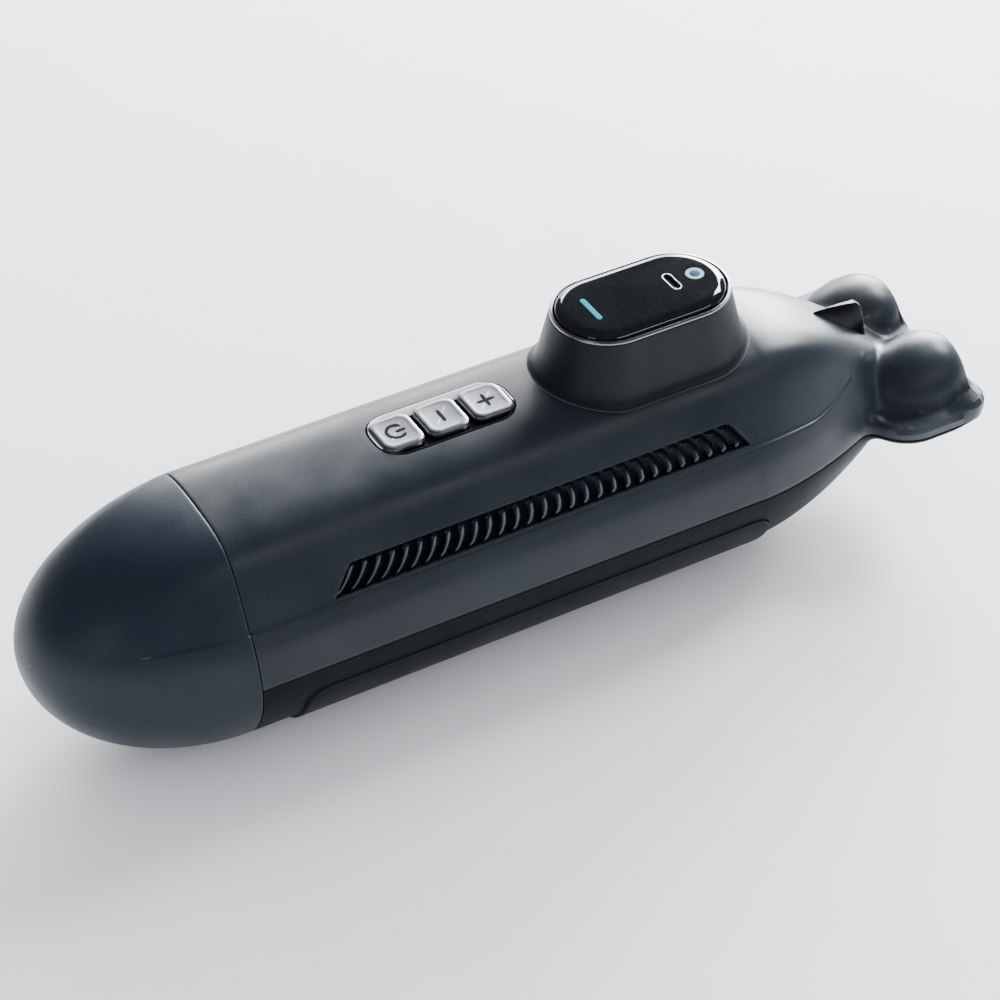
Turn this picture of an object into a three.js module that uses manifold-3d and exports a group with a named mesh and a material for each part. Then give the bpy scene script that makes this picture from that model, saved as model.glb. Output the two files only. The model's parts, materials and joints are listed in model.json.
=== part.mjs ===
// Underwater scooter: a hand-held, twin-jet body in the shape of a small submarine.
// Units are millimetres.  +X is the nose, +Y the port side, +Z up.
// The origin is at mid length and mid width, on the flat keel face that the scooter stands on.
//
// "Station" s is the distance aft of the nose seam, so X = SEAM_X - s.
// Heights below are given from the hull axis, and the whole group is lifted by KEEL_DEPTH at the end.

import * as THREE from 'three';
import { mergeVertices } from 'three/addons/utils/BufferGeometryUtils.js';
import { ConvexGeometry } from 'three/addons/geometries/ConvexGeometry.js';
import Module from 'manifold-3d';

const wasm = await Module();
wasm.setup();

// ---------------------------------------------------------------- driving dimensions

const NOSE_LENGTH = 59.5;
const TAIL_STATION = 268.5;
const SEAM_X = (TAIL_STATION - NOSE_LENGTH) / 2;
const KEEL_DEPTH = 42.3;
const GAP = 0.3;
const DEG = Math.PI / 180;

const HULL = { radius: 42, deck: 39.4, flank: 37.4, flankTilt: 64 * DEG, sharpness: 22 };
const NOSE_ROUND = { radius: 40.2, droop: 1.8 };
const LEDGE = { angle: 68 * DEG, height: 0.8, spread: 0.8 * DEG, from: -20, to: 200 };
const HULL_END = { rear: 266.2, back: 263.5, round: 1.6 };
const LOBE = {
  station: 254, offset: 18.2, height: -0.6, fore: 24, aft: 17, across: 16.8, up: 17.3, end: 263.8,
};
const FLANGE = {
  station: 246.25, fore: 20, aft: 20.75, halfWidth: 41.5, foreRound: 16, aftRound: 8,
  level: -2.6, half: 3.2, edge: 2.2, lift: 2.1, swell: 0.6,
};
const SIDE_TAPER = { from: 178, power: 1.72, drop: 0.443, floor: 0.45 };
const DECK_TAPER = { from: 188, power: 1.7, drop: 0.8, floor: 0.12 };
const KEEL_TAPER = { from: 185, power: 1.8, drop: 0.6, floor: 0.2 };

const WALL = { upper: 2.4, lower: 4, end: 228 };
const SEAM_HEIGHT = -3.7;
const SPIGOT = { fore: -10, aft: 8, wall: 2.95, bore: 33, web: 2 };
const TUBE = { outer: 28, bore: 25.5, fore: 8.6, aft: 149.5 };
const CELL = { radius: 9.1, length: 65, pitch: 9.6, fore: 34 };
const DUCT = { radius: 9.6, offset: 18, fore: 237, throat: 6.2, inlet: 225 };
const SHAFT = { radius: 1.5, fore: 181, aft: TAIL_STATION };
const MOTOR = { radius: 11, fore: 156.4, aft: 190 };
const IMPELLER = { radius: 8.6, hub: 3.2, fore: 239, aft: 250, blades: 4, twist: 62 * DEG, thick: 1.1 };
const NOZZLE = { outer: 9.3, inner: 8.3, hub: 3.7, bore: 2.75, fore: 254, aft: 262, vanes: 5, thick: 1 };

const KEYPAD = {
  station: 83.2, pitch: 15.6, length: 48.3, width: 21, round: 8.5, floor: 37, base: 35.6, rim: 38.9,
};
const BUTTON = { length: 13, width: 14.6, round: 3.2, under: 37.9, top: 39.9, stem: 6, foot: 34.6 };
const BUTTON_NAMES = ['power', 'minus', 'plus'];
const TOWER = { station: 154.2, round: 17.6, straight: 12.8, top: 57.6, wall: 2.2 };
const TOWER_BASE = { round: 21.4, straight: 15.6, height: 32 };
const GLASS = { round: 15.9, flat: 13, top: 60.7, shoulder: 58.9, base: 55.9 };
const LOUVRE = {
  low: -1.55, high: 7.9, lowFore: 28, lowAft: 175.7, highFore: 35.5, highAft: 169.5, ribs: 28,
};
const COVER = { fore: 15, aft: 182, edge: -11.8, round: 7, recess: 1.9, skin: 1.6, proud: 1.1 };

// ---------------------------------------------------------------- materials

const plastic = (color, roughness) => new THREE.MeshStandardMaterial({ color, roughness, metalness: 0 });
const metal = (color, roughness) => new THREE.MeshStandardMaterial({ color, roughness, metalness: 1 });
const SLATE = plastic(0x2f3a44, 0.55);
const DARK_SLATE = plastic(0x1c242c, 0.6);
const BLACK_GLOSS = plastic(0x07090c, 0.08);
const NAVY_GLOSS = plastic(0x0b141d, 0.2);
const TRIM = plastic(0x8d949b, 0.35);
const SATIN_METAL = metal(0x9a9ea1, 0.38);
const CYAN = plastic(0x18d4ea, 0.3);
const PALE_LIGHT = plastic(0xd5f1ff, 0.3);
const RUBBER = plastic(0x121212, 0.85);
const BOARD_GREEN = plastic(0x14472f, 0.5);
const ALUMINIUM = metal(0xb4b8bc, 0.35);
const STEEL = metal(0xa7a9ab, 0.28);
const BRONZE = metal(0xb08a4c, 0.35);
const CELL_WRAP = plastic(0x2f6fb0, 0.45);
const INNER_PLASTIC = plastic(0x202428, 0.6);

// ---------------------------------------------------------------- solids and joins

/** Turns a closed geometry into a solid that can be joined and cut. */
function solid(geometry) {
  const plain = geometry.index ? geometry.toNonIndexed() : geometry.clone();
  plain.deleteAttribute('normal');
  plain.deleteAttribute('uv');
  const merged = mergeVertices(plain, 1e-4);
  return new wasm.Manifold(new wasm.Mesh({
    numProp: 3,
    vertProperties: new Float32Array(merged.attributes.position.array),
    triVerts: new Uint32Array(merged.index.array),
  }));
}

/** Gives a solid back as a three.js geometry. */
function geometryOf(body) {
  const result = body.getMesh();
  const geometry = new THREE.BufferGeometry();
  geometry.setAttribute('position', new THREE.BufferAttribute(result.vertProperties, 3));
  geometry.setIndex(new THREE.BufferAttribute(result.triVerts, 1));
  geometry.computeVertexNormals();
  return geometry;
}

const join = (...bodies) => bodies.reduce((sum, body) => sum.add(body));
const cut = (body, ...tools) => tools.reduce((rest, tool) => rest.subtract(tool), body);

/** Joins equal rings of points into one closed skin, with a fan across each end. */
function loft(rings) {
  const count = rings[0].length;
  const points = rings.flat();
  const faces = [];
  for (let i = 0; i + 1 < rings.length; i += 1) {
    for (let j = 0; j < count; j += 1) {
      const k = (j + 1) % count;
      const [a, b, c, d] = [i * count + j, i * count + k, (i + 1) * count + k, (i + 1) * count + j];
      faces.push(a, b, c, a, c, d);
    }
  }
  const caps = [[rings[0], 0, false], [rings.at(-1), (rings.length - 1) * count, true]];
  for (const [ring, start, flip] of caps) {
    const centre = ring.reduce((sum, p) => sum.add(p), new THREE.Vector3()).divideScalar(count);
    points.push(centre);
    for (let j = 0; j < count; j += 1) {
      const k = (j + 1) % count;
      const [p, q] = flip ? [j, k] : [k, j];
      faces.push(points.length - 1, start + p, start + q);
    }
  }
  const geometry = new THREE.BufferGeometry().setFromPoints(points);
  geometry.setIndex(faces);
  return solid(geometry);
}

/** A box between two corners given in hull coordinates. */
function block(x0, x1, y0, y1, z0, z1) {
  const box = new THREE.BoxGeometry(Math.abs(x1 - x0), y1 - y0, z1 - z0);
  box.translate((x0 + x1) / 2, (y0 + y1) / 2, (z0 + z1) / 2);
  return solid(box);
}

/** A body turned about a line parallel to X: its profile is [station, radius] pairs. */
function turned(profile, y = 0, z = 0, segments = 32) {
  const outline = profile.map(([station, radius]) => new THREE.Vector2(radius, -station));
  const lathe = new THREE.LatheGeometry([...outline, outline[0]], segments);
  lathe.rotateZ(-Math.PI / 2);
  lathe.translate(SEAM_X, y, z);
  return solid(lathe);
}

/** A plain cylinder along X between two stations. */
const rod = (fore, aft, radius, y = 0, z = 0, segments = 32) =>
  turned([[fore, 0], [aft, 0], [aft, radius], [fore, radius]], y, z, segments);

/** A ring along X between two stations and two radii. */
const sleeve = (fore, aft, bore, radius, y = 0, z = 0, segments = 32) =>
  turned([[fore, bore], [aft, bore], [aft, radius], [fore, radius]], y, z, segments);

/** A rounded rectangle, or with half its width as rounding a stadium, centred on 0, 0. */
function roundedOutline(length, width, round) {
  const [a, b] = [length / 2 - round, width / 2 - round];
  const outline = new THREE.Shape();
  outline.absarc(a, b, round, 0, Math.PI / 2);
  outline.absarc(-a, b, round, Math.PI / 2, Math.PI);
  outline.absarc(-a, -b, round, Math.PI, Math.PI * 1.5);
  outline.absarc(a, -b, round, Math.PI * 1.5, Math.PI * 2);
  return outline;
}

/** An outline in plan, raised between two heights with its centre at a station. */
function plate(outline, station, z0, z1, curveSegments = 5) {
  const raised = new THREE.ExtrudeGeometry(outline, { depth: z1 - z0, bevelEnabled: false, curveSegments });
  raised.translate(SEAM_X - station, 0, z0);
  return solid(raised);
}

/** A level ring of points round a stadium, for lofting. */
function stadiumRing(station, straight, round, z, steps = 8) {
  const ring = [];
  for (const side of [1, -1]) {
    for (let i = 0; i <= steps; i += 1) {
      const angle = ((i / steps) * 180 - (side > 0 ? 90 : -90)) * DEG;
      const x = side * straight + round * Math.cos(angle);
      ring.push(new THREE.Vector3(SEAM_X - station + x, round * Math.sin(angle), z));
    }
  }
  return ring;
}

// ---------------------------------------------------------------- the hull surface

/** Smooth union of two distances: like Math.min, but rounded over a width k. */
function blend(a, b, k) {
  const h = THREE.MathUtils.clamp(0.5 + (b - a) / (2 * k), 0, 1);
  return b * (1 - h) + a * h - k * h * (1 - h);
}

/** Smooth intersection: like Math.max, rounded over a width k. */
const trim = (a, b, k) => -blend(-a, -b, k);

/** Radius of the midship section at an angle from straight up: a round with a flat deck and flanks. */
function sectionRadius(angle) {
  const face = (turn, distance) => (Math.max(Math.cos(angle - turn), 0) / distance) ** HULL.sharpness;
  const sum = face(0, HULL.deck) + face(HULL.flankTilt, HULL.flank) + face(-HULL.flankTilt, HULL.flank)
    + HULL.radius ** -HULL.sharpness;
  return sum ** (-1 / HULL.sharpness);
}

/** How far one measure of the section has shrunk at a station: 1 amidships, easing down to a floor. */
function taper(station, { from, power, drop, floor }) {
  if (station < from) return 1;
  const above = 1 - drop * ((station - from) / 60) ** power - floor;
  return floor + above / 2 + Math.hypot(above / 2, 0.03);
}

/** The small outward step below the waist line, fading out on the nose and the tail. */
function ledge(station, angle) {
  const fade = THREE.MathUtils.smoothstep(station, LEDGE.from, 0)
    * (1 - THREE.MathUtils.smoothstep(station, LEDGE.to - 15, LEDGE.to));
  const above = THREE.MathUtils.smoothstep(angle, LEDGE.angle - LEDGE.spread, LEDGE.angle + LEDGE.spread);
  const below = 1 - THREE.MathUtils.smoothstep(angle, 75 * DEG, 92 * DEG);
  return LEDGE.height * fade * above * below;
}

/** Signed distance, roughly, from the outer skin: negative inside. */
function skinDistance(station, y, z) {
  const ahead = THREE.MathUtils.clamp(-station / NOSE_LENGTH, 0, 1);
  const nose = Math.sqrt(Math.max(1 - ahead * ahead, 1e-4));
  const wide = taper(station, SIDE_TAPER) * nose;
  const high = taper(station, z > 0 ? DECK_TAPER : KEEL_TAPER) * nose;
  const [u, v] = [y / wide, z / high];
  const angle = Math.atan2(Math.abs(u), v);
  const round = NOSE_ROUND.radius - NOSE_ROUND.droop * Math.cos(angle);
  const share = ahead ** 0.8;
  const radius = sectionRadius(angle) * (1 - share) + round * share + ledge(station, angle);
  const hull = (Math.hypot(u, v) - radius) * Math.min(wide, high);

  const body = trim(hull, station - HULL_END.back, HULL_END.round);

  const side = Math.abs(y);
  const reach = station < LOBE.station ? LOBE.fore : LOBE.aft;
  const egg = Math.hypot((station - LOBE.station) / reach, (side - LOBE.offset) / LOBE.across,
    (z - LOBE.height) / LOBE.up);
  const lobe = trim((egg - 1) * 15.5, station - LOBE.end, 1.2);

  const corner = station < FLANGE.station ? FLANGE.foreRound : FLANGE.aftRound;
  const length = station < FLANGE.station ? FLANGE.fore : FLANGE.aft;
  const along = Math.max(Math.abs(station - FLANGE.station) - length + corner, 0);
  const across = Math.max(side - FLANGE.halfWidth + corner, 0);
  const plan = Math.hypot(along, across) - corner + FLANGE.edge;
  const rise = THREE.MathUtils.smoothstep(station, 250, 264) * THREE.MathUtils.smoothstep(side, 16, 34);
  const half = FLANGE.half - FLANGE.edge + FLANGE.swell * rise;
  const thick = Math.abs(z - FLANGE.level - FLANGE.lift * rise) - half;
  const flange = Math.min(Math.max(plan, thick), 0) + Math.hypot(Math.max(plan, 0), Math.max(thick, 0))
    - FLANGE.edge;
  return blend(blend(body, flange, 6), lobe, 3);
}

/** Radius at which the skin distance equals a level, found by halving. */
function skinRadius(station, angle, level) {
  let [low, high] = [0, 60];
  for (let i = 0; i < 32; i += 1) {
    const middle = (low + high) / 2;
    if (skinDistance(station, middle * Math.sin(angle), middle * Math.cos(angle)) > level) high = middle;
    else low = middle;
  }
  return Math.max((low + high) / 2, 0.05);
}

/** Angles round the section: even steps, with a pair at each waist ledge. */
function sectionAngles(step) {
  const half = [];
  for (let angle = 0; angle < 180 - 1e-6; angle += step) half.push(angle);
  half.push(67.1, 68.9);
  const right = [...half].sort((a, b) => a - b);
  const left = right.slice(1).reverse().map((angle) => 360 - angle);
  return [...right, 180, ...left].map((angle) => angle * DEG);
}

/** The closed body inside the skin, offset by a level, between the first and last of the stations. */
function hullBody(level, stations, step) {
  const angles = sectionAngles(step);
  const rings = stations.map((station) => angles.map((angle) => {
    const radius = skinRadius(station, angle, level);
    return new THREE.Vector3(SEAM_X - station, radius * Math.sin(angle), radius * Math.cos(angle));
  }));
  return loft(rings);
}

const FINE = 7.5;
const COARSE = 15;
const noseStations = (tip, end) => {
  const stations = [];
  for (let i = 0; i <= 8; i += 1) stations.push(tip * Math.cos((i / 8) * 90 * DEG));
  return [...stations.filter((station) => station < end - 2), end];
};
const MID_STATIONS = [0.25, 60, 120, 172, 184, 194, 203, 211, 218, 224];
const TAIL_STATIONS = [
  229, 233, 237, 241, 245, 249, 253, 257, 260, 262, 263.1, 263.7, 264.3, 265.4, HULL_END.rear,
];
const CAVITY_STATIONS = [-2, 60, 172, 190, 205, 218, WALL.end];

const outerHull = hullBody(0, [...MID_STATIONS, ...TAIL_STATIONS], FINE);
const clearHull = hullBody(GAP, [-5, ...MID_STATIONS.slice(1), ...TAIL_STATIONS.slice(0, 6)], FINE);
const upperCavity = hullBody(-WALL.upper, CAVITY_STATIONS, COARSE);
const lowerCavity = hullBody(-WALL.lower, CAVITY_STATIONS, COARSE);
const above = block(-300, 300, -80, 80, SEAM_HEIGHT + GAP / 2, 90);
const below = block(-300, 300, -80, 80, -90, SEAM_HEIGHT - GAP / 2);
const ducts = [1, -1].map((side) => join(
  rod(DUCT.fore, 275, DUCT.radius, side * DUCT.offset, 0, 24),
  rod(DUCT.inlet, DUCT.fore + 1, DUCT.throat, side * DUCT.offset, 0, 20),
));

// ---------------------------------------------------------------- nodes

const scooter = new THREE.Group();
scooter.position.z = KEEL_DEPTH;

function add(name, body, material) {
  const mesh = new THREE.Mesh(geometryOf(body), material);
  mesh.name = name;
  scooter.add(mesh);
}

/** A prism that stands on the port flank: corners are [station, height up the flank] pairs. */
function flankPrism(corners, side, near, far) {
  const out = new THREE.Vector3(0, side * Math.sin(HULL.flankTilt), Math.cos(HULL.flankTilt));
  const up = new THREE.Vector3(0, -side * Math.cos(HULL.flankTilt), Math.sin(HULL.flankTilt));
  const ring = (depth) => corners.map(([station, height]) => new THREE.Vector3(SEAM_X - station, 0, 0)
    .addScaledVector(up, height).addScaledVector(out, depth));
  const rings = side > 0 ? [ring(near), ring(far)] : [ring(far), ring(near)];
  return loft(rings);
}

/** The slanted-end outline of the louvre window, grown or shrunk by a margin. */
function louvreOutline(margin) {
  return [
    [LOUVRE.lowFore - margin * 1.6, LOUVRE.low - margin],
    [LOUVRE.lowAft + margin * 1.6, LOUVRE.low - margin],
    [LOUVRE.highAft + margin * 1.6, LOUVRE.high + margin],
    [LOUVRE.highFore - margin * 1.6, LOUVRE.high + margin],
  ];
}

/** Water intake louvre: a plate in the window, with a wider rim behind it and slots between its ribs. */
function louvre(side) {
  const rim = flankPrism(louvreOutline(1.6), side, 32.6, 34.2);
  const frame = flankPrism(louvreOutline(-GAP), side, 33.9, 36.6);
  const slots = [];
  const { low, high, lowFore, lowAft, highFore, highAft, ribs } = LOUVRE;
  for (let i = 0; i < ribs; i += 1) {
    const at = (from, to, share) => THREE.MathUtils.lerp(from, to, share / ribs);
    const [fore, aft] = [i + 0.18, i + 0.82];
    slots.push(flankPrism([[at(lowFore, lowAft, fore), low + 1.1], [at(lowFore, lowAft, aft), low + 1.1],
      [at(highFore, highAft, aft), high - 1.1], [at(highFore, highAft, fore), high - 1.1]], side, 31, 38));
  }
  return cut(join(rim, frame), ...slots);
}

/** The belly region that the keel cover fills, seen from the side, shrunk by a margin. */
function coverRegion(margin) {
  const length = COVER.aft - COVER.fore - 2 * margin;
  const outline = roundedOutline(length, 80, COVER.round);
  const prism = new THREE.ExtrudeGeometry(outline, { depth: 120, bevelEnabled: false, curveSegments: 5 });
  prism.rotateX(Math.PI / 2);
  prism.translate(SEAM_X - (COVER.fore + COVER.aft) / 2, 60, COVER.edge - 40 - margin);
  return solid(prism);
}

const SCREW_STATIONS = [34, 163];
const screwPlaces = SCREW_STATIONS.flatMap((station) => [1, -1].map((side) => [station, side * 5]));

/** An upright cylinder at a station. */
function post(station, y, z0, z1, radius, segments = 16) {
  const cylinder = new THREE.CylinderGeometry(radius, radius, z1 - z0, segments);
  cylinder.rotateX(Math.PI / 2);
  cylinder.translate(SEAM_X - station, y, (z0 + z1) / 2);
  return solid(cylinder);
}

function noseCap() {
  const outer = hullBody(0, noseStations(-NOSE_LENGTH + 0.05, -0.15), FINE);
  const inner = hullBody(-WALL.upper, noseStations(-NOSE_LENGTH + WALL.upper + 0.2, 3), COARSE);
  add('nose_cap', cut(outer, inner), SLATE);
}

function upperHull() {
  const louvreWindows = [1, -1].map((side) => flankPrism(louvreOutline(0), side, 30, 45));
  const oblong = roundedOutline(KEYPAD.length, KEYPAD.width, KEYPAD.round);
  const keypadWindow = plate(oblong, KEYPAD.station, 30, 45);
  const cableHatch = plate(roundedOutline(44, 22, 6), TOWER.station, 30, 45);
  const body = cut(outerHull.intersect(above), upperCavity, ...ducts, ...louvreWindows,
    keypadWindow, cableHatch);
  add('upper_hull', body, SLATE);
}

function lowerHull() {
  const core = hullBody(-COVER.recess, [6, 60, 172, 184, 192], FINE);
  const bands = hullBody(3, [8, 60, 172, 190], COARSE).subtract(core);
  const recess = bands.intersect(coverRegion(0));
  const shell = cut(outerHull.intersect(below), lowerCavity, ...ducts);
  const cradles = [22, 92, 146].map((station) => {
    const web = block(SEAM_X - station - 1.5, SEAM_X - station + 1.5, -60, 60, -60, -12);
    return cut(web.intersect(hullBody(-WALL.lower + 0.5, [station - 5, station + 5], COARSE)),
      rod(station - 5, station + 5, TUBE.outer + GAP), block(-200, 200, -6.4, 6.4, -60, -33));
  });
  const bosses = screwPlaces.map(([station, y]) => post(station, y, -38.6, -32, 3.2));
  const holes = screwPlaces.map(([station, y]) => post(station, y, -45, -30, 1.4));
  add('lower_hull', cut(join(shell, ...cradles, ...bosses), recess, ...holes), DARK_SLATE);
}

function keelCover() {
  const band = hullBody(COVER.proud, [8, 60, 172, 184, 192], FINE)
    .subtract(hullBody(-COVER.skin, [6, 60, 172, 184, 194], FINE));
  const body = band.intersect(coverRegion(GAP)).intersect(block(-300, 300, -80, 80, -KEEL_DEPTH, 0));
  const holes = screwPlaces.flatMap(([station, y]) =>
    [post(station, y, -45, -41.1, 2.75, 16), post(station, y, -45, -38, 1.4, 12)]);
  add('keel_cover', cut(body, ...holes), DARK_SLATE);
  screwPlaces.forEach(([station, y], index) => {
    const socket = post(station, y, -43, -41.5, 1.1, 6);
    const head = post(station, y, -42, -41.15, 2.4);
    const screw = cut(join(head, post(station, y, -41.5, -33, 1.1, 12)), socket);
    add(`keel_screw_${index + 1}`, screw, STEEL);
  });
}

function frontBulkhead() {
  const spigot = hullBody(-SPIGOT.wall, [SPIGOT.fore, -0.1], COARSE);
  const seat = hullBody(-WALL.lower - 2 * GAP, [-1, SPIGOT.aft], COARSE);
  const grooveFill = hullBody(-4.7, [-7, -2.6], COARSE);
  const groove = cut(block(SEAM_X + 3.4, SEAM_X + 6.2, -60, 60, -60, 60), grooveFill);
  const boss = rod(SPIGOT.aft - 1, SPIGOT.aft + 9, TUBE.bore - 0.4, 0, 0, 40);
  const sealGroove = sleeve(11.6, 14.4, 23.3, 27, 0, 0, 40);
  const cup = rod(SPIGOT.fore - 1, SPIGOT.web, SPIGOT.bore, 0, 0, 40);
  add('front_bulkhead', cut(join(spigot, seat, boss), cup, groove, sealGroove), INNER_PLASTIC);
  const seal = cut(hullBody(-2.85, [-5.9, -3.7], COARSE), hullBody(-4.35, [-7, -2.6], COARSE));
  add('nose_seal', seal, RUBBER);
}

/** A round rubber ring that sits in a groove round a boss. */
function oRing(station, radius, thick, y = 0, z = 0) {
  const profile = [];
  for (let i = 0; i < 6; i += 1) {
    const angle = i * 60 * DEG;
    profile.push([station + thick * Math.cos(angle), radius + thick * Math.sin(angle)]);
  }
  return turned(profile, y, z, 28);
}

function pressureTube() {
  add('dry_tube', sleeve(TUBE.fore, TUBE.aft, TUBE.bore, TUBE.outer, 0, 0, 40), ALUMINIUM);
  add('tube_seal_fore', oRing(13, 24.45, 0.8), RUBBER);
  add('tube_seal_aft', oRing(145.4, 24.45, 0.8), RUBBER);
}

function batteryPack() {
  const places = [[1, 1], [-1, 1], [-1, -1], [1, -1]].map(([a, b]) => [a * CELL.pitch, b * CELL.pitch]);
  const aft = CELL.fore + CELL.length;
  const discs = [rod(CELL.fore - 3, CELL.fore + 5, 24.8, 0, 0, 24), rod(aft - 5, aft + 3, 24.8, 0, 0, 24)];
  const bores = places.map(([y, z]) => rod(CELL.fore - 0.4, aft + 0.4, CELL.radius + GAP, y, z, 18));
  const spine = block(SEAM_X - CELL.fore, SEAM_X - aft, -2.2, 2.2, -2.2, 2.2);
  add('battery_holder', cut(join(...discs, spine), ...bores), INNER_PLASTIC);
  places.forEach(([y, z], index) => {
    add(`battery_cell_${index + 1}`, rod(CELL.fore, aft, CELL.radius, y, z, 18), CELL_WRAP);
  });
  add('motor_driver_board', block(SEAM_X - 110, SEAM_X - 138, -17, 17, -0.8, 0.8), BOARD_GREEN);
  add('keel_ballast', block(SEAM_X - 44, SEAM_X - 150, -6, 6, -36.8, -33.4), STEEL);
}

function keypad() {
  const outline = roundedOutline(KEYPAD.length - 2 * GAP, KEYPAD.width - 2 * GAP, KEYPAD.round - GAP);
  const inside = roundedOutline(KEYPAD.length - 2, KEYPAD.width - 2, KEYPAD.round - 1);
  const tray = cut(plate(outline, KEYPAD.station, KEYPAD.base, KEYPAD.rim),
    plate(inside, KEYPAD.station, KEYPAD.floor, 50));
  const square = (size, round) => roundedOutline(size, size, round);
  const stations = BUTTON_NAMES.map((_, index) => KEYPAD.station + (index - 1) * KEYPAD.pitch);
  const holes = stations.map((station) => plate(square(BUTTON.stem + 1, 1.5), station, 30, 45, 3));
  add('keypad_bezel', cut(tray, ...holes), BLACK_GLOSS);
  stations.forEach((station, index) => {
    const profile = [[0.35, BUTTON.under], [0, BUTTON.under + 0.4], [0, BUTTON.top - 0.9],
      [0.35, BUTTON.top - 0.3], [1.4, BUTTON.top]];
    const rings = profile.map(([inset, z]) => {
      const round = BUTTON.round - inset / 2;
      const edge = roundedOutline(BUTTON.length - 2 * inset, BUTTON.width - 2 * inset, round);
      const points = edge.getPoints(3).slice(0, -1);
      return points.map((point) => new THREE.Vector3(SEAM_X - station + point.x, point.y, z)).reverse();
    });
    const cap = loft(rings.reverse());
    const stem = plate(square(BUTTON.stem, 1), station, BUTTON.foot, BUTTON.under + 0.5, 3);
    add(`${BUTTON_NAMES[index]}_button`, join(cap, stem), SATIN_METAL);
    const dome = block(SEAM_X - station - 3, SEAM_X - station + 3, -3, 3, 31.4, 32.5);
    add(`${BUTTON_NAMES[index]}_switch`, dome, INNER_PLASTIC);
  });
  add('keypad_membrane', plate(roundedOutline(46, 18, 4), KEYPAD.station, 32.8, 33.6, 3), RUBBER);
  add('control_board', plate(roundedOutline(45, 18, 2), KEYPAD.station, 29.9, 31.1, 2), BOARD_GREEN);
}

const stadiumBody = (levels, station, steps) =>
  loft(levels.map(([straight, round, z]) => stadiumRing(station, straight, round, z, steps)));

function tower() {
  const { station, straight, round, top, wall } = TOWER;
  const base = TOWER_BASE;
  const outer = stadiumBody([[base.straight, base.round, base.height], [straight, round, top]], station, 8);
  const inner = stadiumBody([[base.straight, base.round - wall, base.height - 3],
    [straight, round - wall - 0.4, 53.5]], station, 8);
  const loose = GLASS.round + GAP;
  const pocket = stadiumBody([[straight, loose, 54.9], [straight, loose, 70]], station, 8);
  const well = stadiumBody([[straight, 11, 50], [straight, 11, 60]], station, 8);
  add('tower_shell', cut(outer, clearHull, inner, pocket, well), DARK_SLATE);

  const ring = stadiumBody([[straight, round - 0.05, top + GAP], [straight, round - 0.15, top + 0.6],
    [straight, round - 0.8, top + 1.3]], station, 8);
  const bore = stadiumBody([[straight, loose, top], [straight, loose, 62]], station, 8);
  add('tower_trim_ring', cut(ring, bore), TRIM);

  const seat = GLASS.round - 0.4;
  const gasket = stadiumBody([[straight, seat, 55.2], [straight, seat, 55.6]], station, 8);
  const hole = stadiumBody([[straight, 12, 54], [straight, 12, 57]], station, 8);
  add('glass_gasket', cut(gasket, hole), RUBBER);
}

function statusPanel() {
  const { straight, station } = TOWER;
  const { round, flat, top, shoulder, base } = GLASS;
  const glass = stadiumBody([[straight, round, base], [straight, round, shoulder - 0.6],
    [straight, round - 0.5, shoulder], [straight, flat, top]], station, 8);
  const barSlot = plate(roundedOutline(2.4, 12.4, 1.2), 136.2, 50, 65, 4);
  const usbSlot = plate(roundedOutline(3.9, 9.6, 1.9), 165.6, 50, 65, 4);
  const lightHole = post(174, 0, 50, 65, 3.3, 24);
  add('panel_glass', cut(glass, barSlot, usbSlot, lightHole), BLACK_GLOSS);
  add('light_bar_lens', plate(roundedOutline(1.8, 11.8, 0.9), 136.2, 53, 60.6, 4), CYAN);
  const shell = cut(plate(roundedOutline(3.26, 8.94, 1.6), 165.6, 52.2, 60.5, 4),
    plate(roundedOutline(2.56, 8.34, 1.25), 165.6, 53.4, 62, 4));
  const tongue = block(SEAM_X - 165.6 - 0.35, SEAM_X - 165.6 + 0.35, -3.3, 3.3, 53, 59.8);
  add('usb_socket', join(shell, tongue), STEEL);
  add('ring_light_halo', cut(post(174, 0, 53, 60.6, 2.95, 24), post(174, 0, 50, 63, 1.8, 16)), PALE_LIGHT);
  add('ring_light_centre', post(174, 0, 53, 60.5, 1.5, 16), CYAN);
  const boardOutline = roundedOutline(2 * straight + 22, 20, 9.9);
  add('status_board', plate(boardOutline, station, 50.3, 51.9, 4), BOARD_GREEN);
}

function sternFin() {
  const corners = [];
  for (const side of [1, -1]) {
    for (const [station, y, z] of [[221.6, 0.3, 27.9], [235.6, 1.3, 26.8], [237.4, 1.7, 24],
      [238.2, 4.4, 11], [226, 3.6, 19]]) {
      corners.push(new THREE.Vector3(SEAM_X - station, side * y, z));
    }
  }
  add('stern_fin', cut(solid(new ConvexGeometry(corners)), clearHull), BLACK_GLOSS);
}

function motorBulkhead() {
  const disc = turned([[149.8, 0], [156, 0], [156, 30.5], [149.8, 30.5]], 0, 0, 40);
  const boss = rod(141.5, 150, TUBE.bore - 0.4, 0, 0, 40);
  const groove = sleeve(144, 146.8, 23.3, 27, 0, 0, 40);
  add('motor_bulkhead', cut(join(disc, boss), groove), ALUMINIUM);
}

/** One helical blade: a thin sheet from hub to tip that turns as it runs aft. */
function blade(phase, y, side) {
  const steps = 6;
  const rings = [];
  for (let i = 0; i <= steps; i += 1) {
    const share = i / steps;
    const turn = phase + side * IMPELLER.twist * share;
    const station = THREE.MathUtils.lerp(IMPELLER.fore + 1, IMPELLER.aft - 1, share);
    const corner = (radius, half) => {
      const angle = turn + side * half / radius;
      return new THREE.Vector3(SEAM_X - station, y + radius * Math.sin(angle), radius * Math.cos(angle));
    };
    const ring = [corner(2.4, -IMPELLER.thick / 2), corner(IMPELLER.radius, -IMPELLER.thick / 3),
      corner(IMPELLER.radius, IMPELLER.thick / 3), corner(2.4, IMPELLER.thick / 2)];
    rings.push(side > 0 ? ring : ring.reverse());
  }
  return loft(rings);
}

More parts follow.
